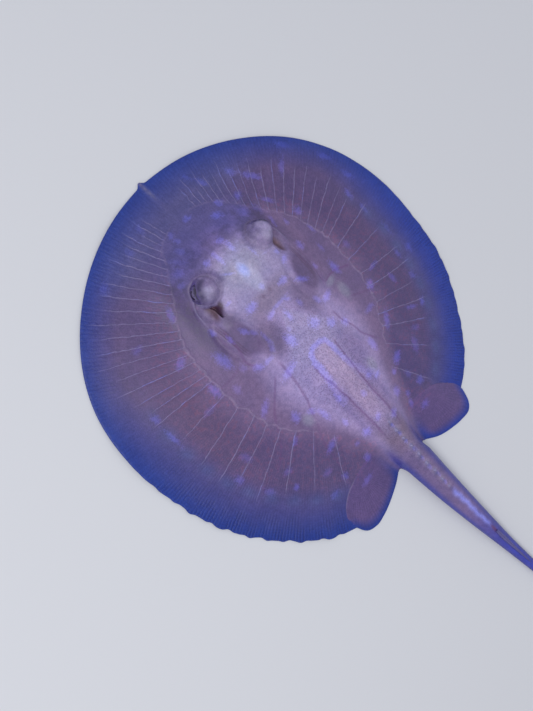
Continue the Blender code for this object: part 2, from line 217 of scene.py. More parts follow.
def disc_top(x, y):
    """Height of the disc's upper surface, without the orbits and the spiracles."""
    share = np.clip(margin_share(x, y), 0, 1)
    lens = MARGIN_THICKNESS + LENS_HEIGHT * (1 - share**2) ** LENS_POWER
    height, half_width, squareness = (curve(BACK_DOME, y, column) for column in (1, 2, 3))
    dome = height * np.exp(-((np.abs(x) / half_width) ** squareness))
    ridge = RIDGE_HEIGHT * window(y, -30, 10, 80, 125) * hump(x, 0, RIDGE_HALF_WIDTH)
    d = gill_pad_distance(x, y)
    pad = GILL_PAD_HEIGHT * fade(0.55, 1.05, d) - GILL_GROOVE_DEPTH * hump(d, 1.12, 0.16)
    snout = SNOUT_RIDGE_HEIGHT * hump(x, 0, 1.3) * window(y, -172, -166, -164, -146)
    return lens + dome + ridge + pad + snout + rim_lift(x, y)


def tail_middle(y):
    return curve(TAIL, y, 3)


def tail_across(x, y):
    """-1 to 1 across the tail."""
    return (x - tail_middle(y)) / curve(TAIL, y, 1)


def tail_side(y):
    """Height of the tail's widest line, which comes down to the pelvic fins' rims at the join."""
    rim = MARGIN_THICKNESS / 2
    return rim + (TAIL_WIDEST_SHARE * curve(TAIL, y, 2) - rim) * ease(TAIL_JOIN_Y, TAIL_JOIN_Y + 7, y)


def tail_top(x, y):
    side = tail_side(y)
    top = side + (curve(TAIL, y, 2) - side) * np.sqrt(np.clip(1 - tail_across(x, y) ** 2, 0, 1))
    return top - 4 * fade(88, TAIL_START_Y, y)


def tail_bottom(x, y):
    cosine = np.clip(np.abs(tail_across(x, y)), 0, 1) ** (1 / 0.75)
    return tail_side(y) * (1 - np.sqrt(1 - cosine**2) ** 0.6)


def smooth_max(a, b, width):
    h = np.clip(0.5 + 0.5 * (a - b) / width, 0, 1)
    return b + (a - b) * h + width * h * (1 - h)


# ==== Head ====================================================================================
EYE_PLACE = (31.4, -86.0, 26.6)
EYE_RADIUS = 7.8
EYE_TURN_FORWARD = 32
EYE_TILT_UP = 15
LID_OPENING = (60, 31)
LID_THICKNESS = 0.75
ORBIT_PLACE = (28.4, -85.0, 25.4)
ORBIT_HALF_SIZE = (9.4, 10.6, 10.6)
ORBIT_PATCH_RADIUS = 13.0
ORBIT_DOME_SHARE = 0.62
SPIRACLE_PLACE = (37.4, -72.5)
SPIRACLE_HALF_SIZE = (6.4, 11.5)
SPIRACLE_BOWL_DEPTH = 2.8
SPIRACLE_SLIT = ((36.6, -80), (33.4, -75.6), (31.9, -71.5), (32, -67), (32.6, -64))
SPIRACLE_SLIT_HALF_WIDTH = 1.9
SPIRACLE_SLIT_DEPTH = 4.8
RIGHT_SLIT_OPEN = 0.22
GILL_FOLD = (
    (33, -89), (38.2, -86.2), (42.4, -80.5), (44.2, -72), (44.2, -62), (43.8, -52), (43.2, -42),
    (42, -32), (38.5, -24),
)
GILL_FOLD_HEIGHT = 1.15
FURROWS = (1.7, 3.1, 4.5)
FURROW_DEPTH = 0.35


def along_path(x, y, side, points, step=1.0, reach_limit=14.0):
    """Signed distance to a line on one side of the body, its size, and how far along the line."""
    path = line_through(points, step)
    signed = np.full(len(x), reach_limit)
    near = np.full(len(x), reach_limit)
    share = np.zeros(len(x))
    low, high = path.min(axis=0) - reach_limit, path.max(axis=0) + reach_limit
    px, py = x * side, y
    close = np.flatnonzero((px > low[0]) & (px < high[0]) & (py > low[1]) & (py < high[1]))
    qx, qy = px[close], py[close]
    best, across, place = near[close], signed[close], share[close]
    for i, (start, end) in enumerate(zip(path[:-1], path[1:])):
        run = end - start
        length = float(np.hypot(*run))
        t = np.clip(((qx - start[0]) * run[0] + (qy - start[1]) * run[1]) / length**2, 0, 1)
        dx, dy = qx - start[0] - t * run[0], qy - start[1] - t * run[1]
        d = np.hypot(dx, dy)
        turn = np.where(run[0] * (qy - start[1]) - run[1] * (qx - start[0]) < 0, -1.0, 1.0)
        closer = d < best
        best = np.where(closer, d, best)
        across = np.where(closer, d * turn, across)
        place = np.where(closer, (i + t) / (len(path) - 1), place)
    near[close], signed[close], share[close] = best, across, place
    return signed, near, share


def from_orbit(x, y):
    return np.hypot(np.abs(x) - ORBIT_PLACE[0], y - ORBIT_PLACE[1])


def spiracle_distance(x, y):
    return oval(np.abs(x), y, SPIRACLE_PLACE, SPIRACLE_HALF_SIZE)


def slit_share(x, y):
    """1 in the middle of the spiracle's slit and 0 beside it; the right one is nearly shut."""
    near, place = along_path(np.abs(x), y, 1, SPIRACLE_SLIT, 0.5, 5.0)[1:]
    half_width = SPIRACLE_SLIT_HALF_WIDTH * np.sqrt(np.clip(4 * (place + 0.05) * (1.05 - place), 0.1, 1))
    return fade(0.1, 1.1, near / half_width) * np.where(x < 0, RIGHT_SLIT_OPEN, 1)


def gill_folds(x, y):
    """The fold round the spiracle's outer side and back past the gills: height, and its furrows' depth."""
    signed, near, place = along_path(np.abs(x), y, 1, GILL_FOLD, 1.0, 8.0)
    fold = GILL_FOLD_HEIGHT * hump(near, 0, 0.8) * ease(0, 0.1, place) * (1 - 0.82 * ease(0.2, 0.44, place))
    by_gills = window(place, 0.4, 0.5, 0.82, 0.97)
    furrows = sum(hump(signed, inset, 0.45) for inset in FURROWS) * by_gills
    return fold, furrows


def spiracle_drop(x, y):
    """How far the spiracle's funnel sinks below the head, less the folds beside it."""
    bowl = SPIRACLE_BOWL_DEPTH * fade(0.3, 1.0, spiracle_distance(x, y))
    fold, furrows = gill_folds(x, y)
    return SPIRACLE_SLIT_DEPTH * slit_share(x, y) + bowl - fold + FURROW_DEPTH * furrows


def swing_out_orbits(points, plan_x, plan_y):
    """Turns the round patch of plan over each orbit into a dome, parted round the eye."""
    rho = from_orbit(plan_x, plan_y)
    inside = rho < ORBIT_PATCH_RADIUS
    side = np.sign(plan_x[inside])
    x, y = np.abs(plan_x[inside]) - ORBIT_PLACE[0], plan_y[inside] - ORBIT_PLACE[1]
    turn = np.arctan2(y, x)
    s = rho[inside] / ORBIT_PATCH_RADIUS
    foot_x = ORBIT_PLACE[0] + ORBIT_PATCH_RADIUS * np.cos(turn)
    foot_y = ORBIT_PLACE[1] + ORBIT_PATCH_RADIUS * np.sin(turn)
    foot = (disc_top(foot_x, foot_y) + 1 - ORBIT_PLACE[2]) / ORBIT_HALF_SIZE[2]
    lowest = np.arcsin(np.clip(foot, -0.42, 0.75))
    wide = np.hypot(ORBIT_HALF_SIZE[0] * np.cos(turn), ORBIT_HALF_SIZE[1] * np.sin(turn))

    rise = np.pi / 2 - (np.pi / 2 - lowest) * np.clip(s / ORBIT_DOME_SHARE, 0, 1)
    out = np.clip((s - ORBIT_DOME_SHARE) / (1 - ORBIT_DOME_SHARE), 0, 1)
    h = wide * np.cos(rise)
    h = h + (ORBIT_PATCH_RADIUS - h) * out
    dome_x, dome_y = ORBIT_PLACE[0] + h * np.cos(turn), ORBIT_PLACE[1] + h * np.sin(turn)
    arc = ORBIT_PLACE[2] + ORBIT_HALF_SIZE[2] * np.sin(rise)
    ground = disc_top(dome_x, dome_y) - spiracle_drop(dome_x * side, dome_y) * ease(0.0, 0.5, out)
    dome = np.column_stack((dome_x, dome_y, arc + (ground - arc) * ease(0, 0.85, out)))

    offset = dome - EYE_PLACE
    far = np.linalg.norm(offset, axis=1)
    shut = lid_distance(offset)
    lid = EYE_RADIUS + LID_THICKNESS * (1 + 0.3 * hump(shut, 1.14, 0.18))
    covered = np.where(out < 0.7, np.maximum(far, lid), far)
    socket = EYE_RADIUS * 0.8
    target = socket + (covered - socket) * ease(0.86, 1.04, shut)
    dome = EYE_PLACE + offset * (target / far)[:, None]
    dome[:, 0] *= side
    points[inside] = dome
    return points


def lid_distance(offset):
    """1 on the lids' edge, and less inside the opening, for offsets from the left eye's middle."""
    azimuth = np.degrees(np.arctan2(-offset[:, 1], offset[:, 0])) - EYE_TURN_FORWARD
    tilt = np.degrees(np.arctan2(offset[:, 2], np.hypot(offset[:, 0], offset[:, 1]))) - EYE_TILT_UP
    azimuth = (azimuth + 180) % 360 - 180
    return np.hypot(azimuth / LID_OPENING[0], tilt / LID_OPENING[1])


# ==== Underside ===============================================================================
MOUTH_PLACE = (0, -106)
MOUTH_BOW = 0.008
NOSTRIL_PLACE = (10.5, -115.5)
CLOACA_PLACE = (0, 96)
GILL_SLITS = 5
# (x, y, half length)
FIRST_GILL_SLIT = (31.0, -78.0, 4.6)
LAST_GILL_SLIT = (21.5, -42.0, 3.2)


def belly_pits():
    """Each pit's place, half size, half size of the stain round it, turn, depth and stain's strength."""
    yield MOUTH_PLACE, (12, 1.5), (13.5, 3.2), 0, 2.6, 1.0
    yield NOSTRIL_PLACE, (3.2, 1.5), (4, 2.3), -35, 1.8, 0.8
    yield CLOACA_PLACE, (2.0, 5.0), (3, 6.5), 0, 1.6, 0.8
    for i in range(GILL_SLITS):
        t = i / (GILL_SLITS - 1)
        gill_x, gill_y, half = (a + (b - a) * t for a, b in zip(FIRST_GILL_SLIT, LAST_GILL_SLIT))
        yield (gill_x, gill_y), (half, 1.0), (half + 0.8, 1.7), 14, 1.3, 0.9


def in_pit(x, y, place, half_size, turn):
    """1 in the middle of a pit and 0 round it; places are on the left side, and the mouth is bowed."""
    bow = MOUTH_BOW * x**2 if place == MOUTH_PLACE else 0
    return fade(0.35, 1.15, oval(np.abs(x), y + bow, place, half_size, turn))


def underside_pits(x, y):
    """Depth of the mouth, nostrils, gill slits and cloaca."""
    return sum(depth * in_pit(x, y, place, half, turn) for place, half, _, turn, depth, _ in belly_pits())


# ==== The skin's mesh =========================================================================
OUTLINE_STEP = 1.25
TAIL_STEP = 1.9
RIM_ROWS = (0.18, 0.55, 1.1, 1.9)
RIM_ROUNDING = 0.7
MEAN_REACH = 156
MIDDLE_INSET = 166


def even_outline(points, step):
    """The same line with its points an even step apart."""
    places = run_along(points)
    at = np.linspace(0, places[-1], int(places[-1] / step))
    return np.column_stack([np.interp(at, places, column) for column in points.T])


def at_bearing(bearing, far):
    """Places at a distance from the origin, on bearings from the snout."""
    return np.column_stack((far * np.sin(np.radians(bearing)), -far * np.cos(np.radians(bearing))))


def half_outline(side):
    """From the snout round one side of the disc and pelvic fin, and down the tail's edge to its tip."""
    join = float(bearing_of(curve(TAIL, TAIL_JOIN_Y, 1), TAIL_JOIN_Y))
    parts = []
    for low, high in ((0, PELVIC_START), (PELVIC_START + 1e-6, join)):
        bearing = np.linspace(low, high, 3000)
        margin = at_bearing(bearing, reach(bearing, side)) * (side, 1)
        parts.append(even_outline(margin, OUTLINE_STEP)[:-1])
    y = np.linspace(TAIL_JOIN_Y, TAIL_END_Y, int((TAIL_END_Y - TAIL_JOIN_Y) / TAIL_STEP))
    parts.append(np.column_stack((tail_middle(y) + side * curve(TAIL, y, 1), y)))
    return np.vstack(parts)


def outline():
    """The plan's outline, closed, anticlockwise as seen from above."""
    left, right = half_outline(1), half_outline(-1)
    loop = np.vstack((left, right[:0:-1]))
    corner = np.abs(loop[:, 1] - TAIL_JOIN_Y) + np.abs(np.abs(loop[:, 0]) - 14) < 5
    for _ in range(6):
        mean = (np.roll(loop, 1, 0) + np.roll(loop, -1, 0)) / 2
        loop[corner] = (loop[corner] + mean[corner]) / 2
    return loop


def lattice(box, step):
    """Points of a triangular lattice in a box of (low x, low y, high x, high y)."""
    rows = []
    for i, y in enumerate(np.arange(box[1], box[3], step * math.sqrt(3) / 2)):
        x = np.arange(box[0], box[2], step) + (step / 2 if i % 2 else 0)
        rows.append(np.column_stack((x, np.full_like(x, y))))
    return np.vstack(rows)


def disc_rows(step, rim_rows):
    """Points on rows that follow the margin, closer together at the rim."""
    insets = list(rim_rows) + list(np.arange(rim_rows[-1] + 0.7 * step, MIDDLE_INSET, step))
    rows = []
    for i, inset in enumerate(insets):
        count = max(6, int(2 * math.pi * (MEAN_REACH - inset) / (OUTLINE_STEP if inset < 1 else step)))
        turn = (np.arange(count) + 0.5 * (i % 2)) * 360 / count - 180
        far = reach(np.abs(turn), np.sign(turn))
        rows.append(at_bearing(turn, far - inset if i < len(rim_rows) else far * (1 - inset / MIDDLE_INSET)))
    return np.vstack(rows)


def tail_rows(across):
    """Points across the tail, closer together at its sides."""
    rows = []
    for y in np.arange(TAIL_START_Y - 8, TAIL_END_Y - 0.8, TAIL_STEP):
        spread = np.sin(np.linspace(-math.pi / 2, math.pi / 2, across))
        if y > TAIL_JOIN_Y - 1:
            spread = spread[1:-1]
        x = tail_middle(y) + curve(TAIL, y, 1) * spread
        rows.append(np.column_stack((x, np.full_like(x, y))))
    return np.vstack(rows)


def tail_corridor(x, y):
    return (y > TAIL_START_Y - 9) & (np.abs(x - tail_middle(y)) < curve(TAIL, y, 1) + 0.8)


def pelvic_crease_rows():
    """Points beside the pelvic fins' front edges, where a fine step runs."""
    rows = []
    for side, points in PELVIC_FRONT.items():
        middle = line_through(points, 1.0)[8:-2]
        along = np.gradient(middle, axis=0)
        normal = np.column_stack((-along[:, 1], along[:, 0])) / np.hypot(*along.T)[:, None]
        rows += [(middle + normal * inset) * (side, 1) for inset in (-0.9, -0.4, 0.0, 0.4, 0.9)]
    return np.vstack(rows)


def orbit_rows():
    """Points on rings over the patches of plan that swing out as the orbits."""
    rows = []
    for i, rho in enumerate(np.arange(0.45, ORBIT_PATCH_RADIUS, 0.5)):
        count = int(min(126, max(8, 2 * math.pi * rho / 0.6)))
        turn = (np.arange(count) + 0.5 * ((i + 1) % 2)) * 2 * math.pi / count
        rows.append(rho * np.column_stack((np.cos(turn), np.sin(turn))) + ORBIT_PLACE[:2])
    rows = np.vstack(rows)
    return np.vstack((rows, rows * (-1, 1)))


def beside(x, y, place, half_size, spare=0.0):
    """Whether a point lies in an upright box round a place on the left side, or in its mirror image."""
    across, along = np.abs(np.abs(x) - place[0]), np.abs(y - place[1])
    return (across < half_size[0] + spare) & (along < half_size[1] + spare)


def fine_zone(x, y, spare=0.0):
    return beside(x, y, (37.5, -75), (8.5, 15), spare) | beside(x, y, (41.5, -45), (4.5, 23), spare)


def head_zone(x, y, spare=0.0):
    return beside(x, y, (0, -62), (52, 48), spare)


def back_zone(x, y, spare=0.0):
    return (np.abs(x) < 46 - 0.28 * (y + 14) + spare) & (y > -14 - spare) & (y < 94 + spare)


def from_pelvic_front(x, y):
    """Distance to the front edge of the nearer pelvic fin."""
    near = np.full(len(x), 99.0)
    for side, points in PELVIC_FRONT.items():
        for px, py in line_through(points, 0.5):
            near = np.minimum(near, np.hypot(x - side * px, y - py))
    return near


def kept(points, wanted):
    """The points for whose x and y the given test holds."""
    return points[wanted(*points.T)]


def upper_points():
    """The plan's inner points for the upper side, closer together where the form is finer."""

    def in_fine(x, y):
        return fine_zone(x, y) & (from_orbit(x, y) > ORBIT_PATCH_RADIUS + 0.3)

    def in_head(x, y):
        return head_zone(x, y) & ~fine_zone(x, y, 0.5) & (from_orbit(x, y) > ORBIT_PATCH_RADIUS + 0.5)

    def in_back(x, y):
        return back_zone(x, y) & ~head_zone(x, y, 0.4) & ~tail_corridor(x, y)

    def in_disc(x, y):
        taken = head_zone(x, y, 0.7) | tail_corridor(x, y) | back_zone(x, y, 0.7)
        return ~taken & (from_pelvic_front(x, y) > 1.5)

    return np.vstack((
        orbit_rows(),
        tail_rows(21),
        pelvic_crease_rows(),
        kept(lattice((-52, -90, 52, -22), 0.62), in_fine),
        kept(lattice((-52, -110, 52, -14), 0.95), in_head),
        kept(lattice((-48, -14, 48, 98), 1.1), in_back),
        kept(disc_rows(1.5, RIM_ROWS), in_disc),
    ))


def lower_points():
    """The plan's inner points for the lower side, closer together round the pits."""

    def by_pits(x, y):
        return ((np.abs(x) < 18) & (y < -98)) | (beside(x, y, (26, 0), (11, 999)) & (y > -86))

    def elsewhere(x, y):
        by_mouth, by_gills = beside(x, y, (0, -111), (20, 15)), beside(x, y, (26, -60), (13, 28))
        return ~by_mouth & ~by_gills & ~beside(x, y, CLOACA_PLACE, (6, 10)) & ~tail_corridor(x, y)

    return np.vstack((
        tail_rows(11),
        kept(lattice((-40, -124, 40, -34), 0.9), by_pits),
        lattice((-4, CLOACA_PLACE[1] - 7, 4, TAIL_START_Y - 10), 0.9),
        kept(disc_rows(3.2, (0.18, 0.55, 1.3)), elsewhere),
    ))


def within(loop, x, y):
    """Whether each place lies inside the closed line."""
    inside = np.zeros(len(x), bool)
    for (ax, ay), (bx, by) in zip(loop, np.roll(loop, -1, 0)):
        spans = (ay > y) != (by > y)
        inside ^= spans & (x < ax + (y - ay) / (by - ay if by != ay else 1) * (bx - ax))
    return inside


def triangulate(loop, inner):
    """The plan's points and its triangles; the loop's points come first and keep their order."""
    inner = inner[within(loop, *inner.T)]
    plan = [Vector(p) for p in np.vstack((loop, inner))]
    edges = [(i, (i + 1) % len(loop)) for i in range(len(loop))]
    points, _, faces, sources, _, _ = delaunay_2d_cdt(plan, edges, [], 1, 1e-4, True)
    order = {}
    for made, source in enumerate(sources):
        for given in source:
            if given < len(loop):
                order[made] = given
    spare = iter(range(len(loop), len(points)))
    renumbered = [order[i] if i in order else next(spare) for i in range(len(points))]
    placed = np.empty((len(points), 2))
    placed[renumbered] = [tuple(p) for p in points]
    triangles = np.array([[renumbered[i] for i in face] for face in faces])
    return placed, triangles[within(loop, *placed[triangles].mean(axis=1).T)]


def inset_of(x, y):
    """Distance in from the disc's margin."""
    return (1 - margin_share(x, y)) * reach(bearing_of(x, y), np.sign(x))


def roundness(x, y):
    """0 at the very rim and 1 from a little way in."""
    return np.sqrt(np.clip(1 - (1 - np.clip(inset_of(x, y) / RIM_ROUNDING, 0, 1)) ** 2, 0, 1))


def in_tail(x, y):
    return (np.abs(tail_across(x, y)) <= 1) & (y > TAIL_START_Y - 16)


def pelvic_step(x, y):
    """The pelvic fin's front edge stands a little proud of the pectoral fin."""
    near = from_pelvic_front(x, y)
    held = ease(30, 60, np.abs(x))
    proud = PELVIC_STEP * window(near, 0, 0.8, 2, 11)
    groove = 0.25 * hump(near, 0, 0.7)
    return held * np.where(in_pelvic(x, y), proud, -groove)


def in_pelvic(x, y):
    """Whether a point lies behind the pelvic fin's front edge."""
    edges = [line_through(PELVIC_FRONT[side], 0.5) for side in (1, -1)]
    left, right = (np.interp(np.abs(x), edge[:, 0], np.maximum.accumulate(edge[:, 1])) for edge in edges)
    return (y > np.where(x >= 0, left, right)) & (np.abs(x) < 75.9) & (bearing_of(x, y) > 140)


def skin_points(x, y, upper):
    """The skin's points over plan points of the upper or the lower side."""
    rim = MARGIN_THICKNESS / 2
    rounded = roundness(x, y)
    if upper:
        thick = disc_top(x, y) - rim_lift(x, y) + pelvic_step(x, y)
        z = rim_lift(x, y) + rim + (thick - rim) * rounded - spiracle_drop(x, y)
        joined = smooth_max(np.where(inset_of(x, y) < 0, tail_side(y), z), tail_top(x, y), 1.6)
        z = np.where(in_tail(x, y), np.where(y > TAIL_JOIN_Y, tail_top(x, y), joined), z)
    else:
        z = rim_lift(x, y) + rim * (1 - rounded) + underside_pits(x, y)
        z = np.where(in_tail(x, y) & (y > TAIL_JOIN_Y), tail_bottom(x, y), z)
    points = np.column_stack((x, y, z))
    return swing_out_orbits(points, x, y) if upper else points


def outline_heights(loop):
    """Heights of the outline's points, where the upper and the lower side meet."""
    x, y = loop.T
    on_tail = (y > TAIL_JOIN_Y + 0.1) & (np.abs(tail_across(x, y)) < 1.3)
    return np.where(on_tail, tail_side(y), rim_lift(x, y) + MARGIN_THICKNESS / 2)


def build_skin():
    """The skin, its points' places in the plan, and which of them are on the upper side."""
    loop = outline()
    sides = []
    for upper, inner in ((True, upper_points()), (False, lower_points())):
        plan, triangles = triangulate(loop, inner)
        points = skin_points(plan[:, 0], plan[:, 1], upper)
        points[: len(loop)] = np.column_stack((loop, outline_heights(loop)))
        sides.append((plan, points, triangles))
    (plan, points, triangles), (low_plan, low_points, low_triangles) = sides
    first = len(loop)
    shifted = np.where(low_triangles >= first, low_triangles + len(points) - first, low_triangles)
    faces = np.vstack((triangles, shifted[:, ::-1]))
    all_points = np.vstack((points, low_points[first:])) * UNIT
    mesh = bpy.data.meshes.new("skin")
    mesh.from_pydata(all_points.tolist(), [], faces.tolist())
    mesh.validate()
    mesh.shade_smooth()
    skin = bpy.data.objects.new("skin", mesh)
    bpy.context.scene.collection.objects.link(skin)
    upper_side = np.r_[np.ones(len(points), bool), np.zeros(len(low_points) - first, bool)]
    return skin, np.vstack((plan, low_plan[first:])), upper_side


# ==== Markings ================================================================================
# Colours are given as a screen shows them: red, green and blue from 0 to 255.
BACK = (163, 147, 197)
HEAD = (160, 152, 194)
FOREHEAD = (164, 160, 192)
BY_RING = (120, 100, 142)
MID_DISC = (96, 80, 127)
SNOUT = (87, 87, 142)
BROW = (90, 86, 146)
RIM_SEEN_THROUGH = (30, 60, 148)
RIM_RIGHT_SEEN_THROUGH = (20, 56, 170)
RIM_EDGE_SEEN_THROUGH = (20, 52, 148)
RIM_BAND = (80, 92, 152)
PELVIC = (97, 79, 133)
REAR_BACK = (128, 110, 142)
PALE_FLECK = (148, 150, 176)
TAIL_BACK = (118, 101, 148)
TAIL_FLANK = (66, 70, 158)
TAIL_TIP = (62, 70, 174)
TAIL_STRIPE = (144, 150, 242)
THORN_BAND = (142, 126, 156)
GILL_PAD = (105, 88, 131)
TEARDROP = (180, 178, 214)
CROWN_SPOT = (178, 188, 250)
LID = (124, 113, 154)
LID_INNER_LIGHT = (144, 133, 172)
LID_TOP_HIGHLIGHT = (156, 149, 184)
LID_EDGE = (138, 126, 166)
LID_DARK = (76, 67, 120)
DOME_SHADE = (66, 58, 98)
DOME_HALO_SHADE = (88, 78, 124)
DOME_RIM_LIGHT = (152, 141, 180)
SOCKET_SHADE = (30, 20, 40)
FUNNEL = (128, 112, 152)
FUNNEL_INNER = (96, 72, 88)
SLIT_SHADE = (96, 64, 84)
FOLD = (134, 126, 166)
FURROW_SHADE = (84, 62, 92)
STING_PIT = (108, 66, 106)
BELLY = (186, 180, 202)
BELLY_RIM = (104, 106, 162)
BELLY_TAIL = (150, 140, 176)
MOUTH_LINING = (150, 112, 128)

# Bearings of the lateral-line canals outside the ring, about the canals' middle on the same side.
FRONT_CANALS = (
    8.6, 10.8, 13.2, 15.6, 18.4, 21.4, 24.6, 28.2, 32, 36, 40.5, 45, 49.5, 54, 58.5, 63, 68, 73, 77.5,
)
REAR_CANALS = {
    1: (82, 90, 95, 100.5, 107, 116, 126, 138, 151),
    -1: (85, 91.5, 96.4, 101.3, 110, 118, 126.5, 138, 151.5),
}
LAST_CANAL = 166
CANAL_REACH = {
    1: ((0, 0.9), (25, 0.92), (60, 0.92), (80, 0.8), (110, 0.79), (140, 0.76), (160, 0.72)),
    -1: ((0, 0.9), (25, 0.9), (60, 0.86), (80, 0.81), (110, 0.78), (140, 0.76), (160, 0.72)),
}
CANAL_RING = {
    1: ((0, -131.5), (12, -131.5), (21, -129), (33, -115), (42, -103), (50, -92), (58, -80), (66, -63),
        (68, -50), (69, -35), (70, -23), (69, -9), (66, 4), (64, 14), (60, 25), (55, 34), (48, 42), (40, 54),
        (34, 64)),
    -1: ((0, -131.5), (12, -131.5), (21.5, -128), (32, -118), (45, -102), (60, -83), (67, -72), (70, -60),
         (73, -50), (74, -35), (73, -22), (72, -5), (70, 5), (67, 17), (60, 25), (56, 33), (49, 42), (42, 56),
         (36, 68)),
}
# Vessels under the skin: side, strength, then the points they run through on that side.
VESSELS = (
    (1, 0.9, ((14, 6), (12, 20), (10.5, 38), (9.5, 60), (9, 80), (8.5, 98))),
    (-1, 1.0, ((13.5, 4), (12.5, 16), (11, 28), (9.6, 46), (9, 64), (8.6, 84), (8, 100))),
    (1, 0.8, ((28, -14), (29, -4), (29.5, 8), (32, 21), (36, 33), (38, 42))),
    (1, 0.7, ((36, -8), (43, 0), (51, 8), (59, 18), (66, 30))),
    (-1, 0.9, ((29, -8), (30, 0), (33, 10), (36, 20), (41, 32), (46, 40))),
    (-1, 0.6, ((50, -2), (58, 2), (66, 7), (72, 14))),
    (-1, 1.1, ((42, -25), (52, -25.6), (60, -24), (66, -20), (72, -17))),
    (1, 0.8, ((40, -58), (40.6, -48), (42.4, -36), (43.6, -28), (41, -20))),
    (-1, 0.5, ((41, -56), (42, -44), (43.5, -32), (42, -22))),
    (1, 0.5, ((50, -29), (60, -28), (72, -30))),
    (1, 0.5, ((66, 30), (76, 40), (86, 46))),
    (-1, 0.5, ((46, 40), (54, 54), (62, 68), (66, 78))),
    (1, 0.5, ((38, 42), (44, 56), (48, 72), (50, 88))),
)
HAIRPIN = {
    1: ((0, -1), (4, -1), (7.5, 1), (9.6, 5), (10, 14), (11, 25), (13, 35), (13, 46)),
    -1: ((0, -1), (4, 0), (7, 2), (8, 6), (8.4, 16), (9.4, 26), (12, 36), (16, 46), (21, 53)),
}
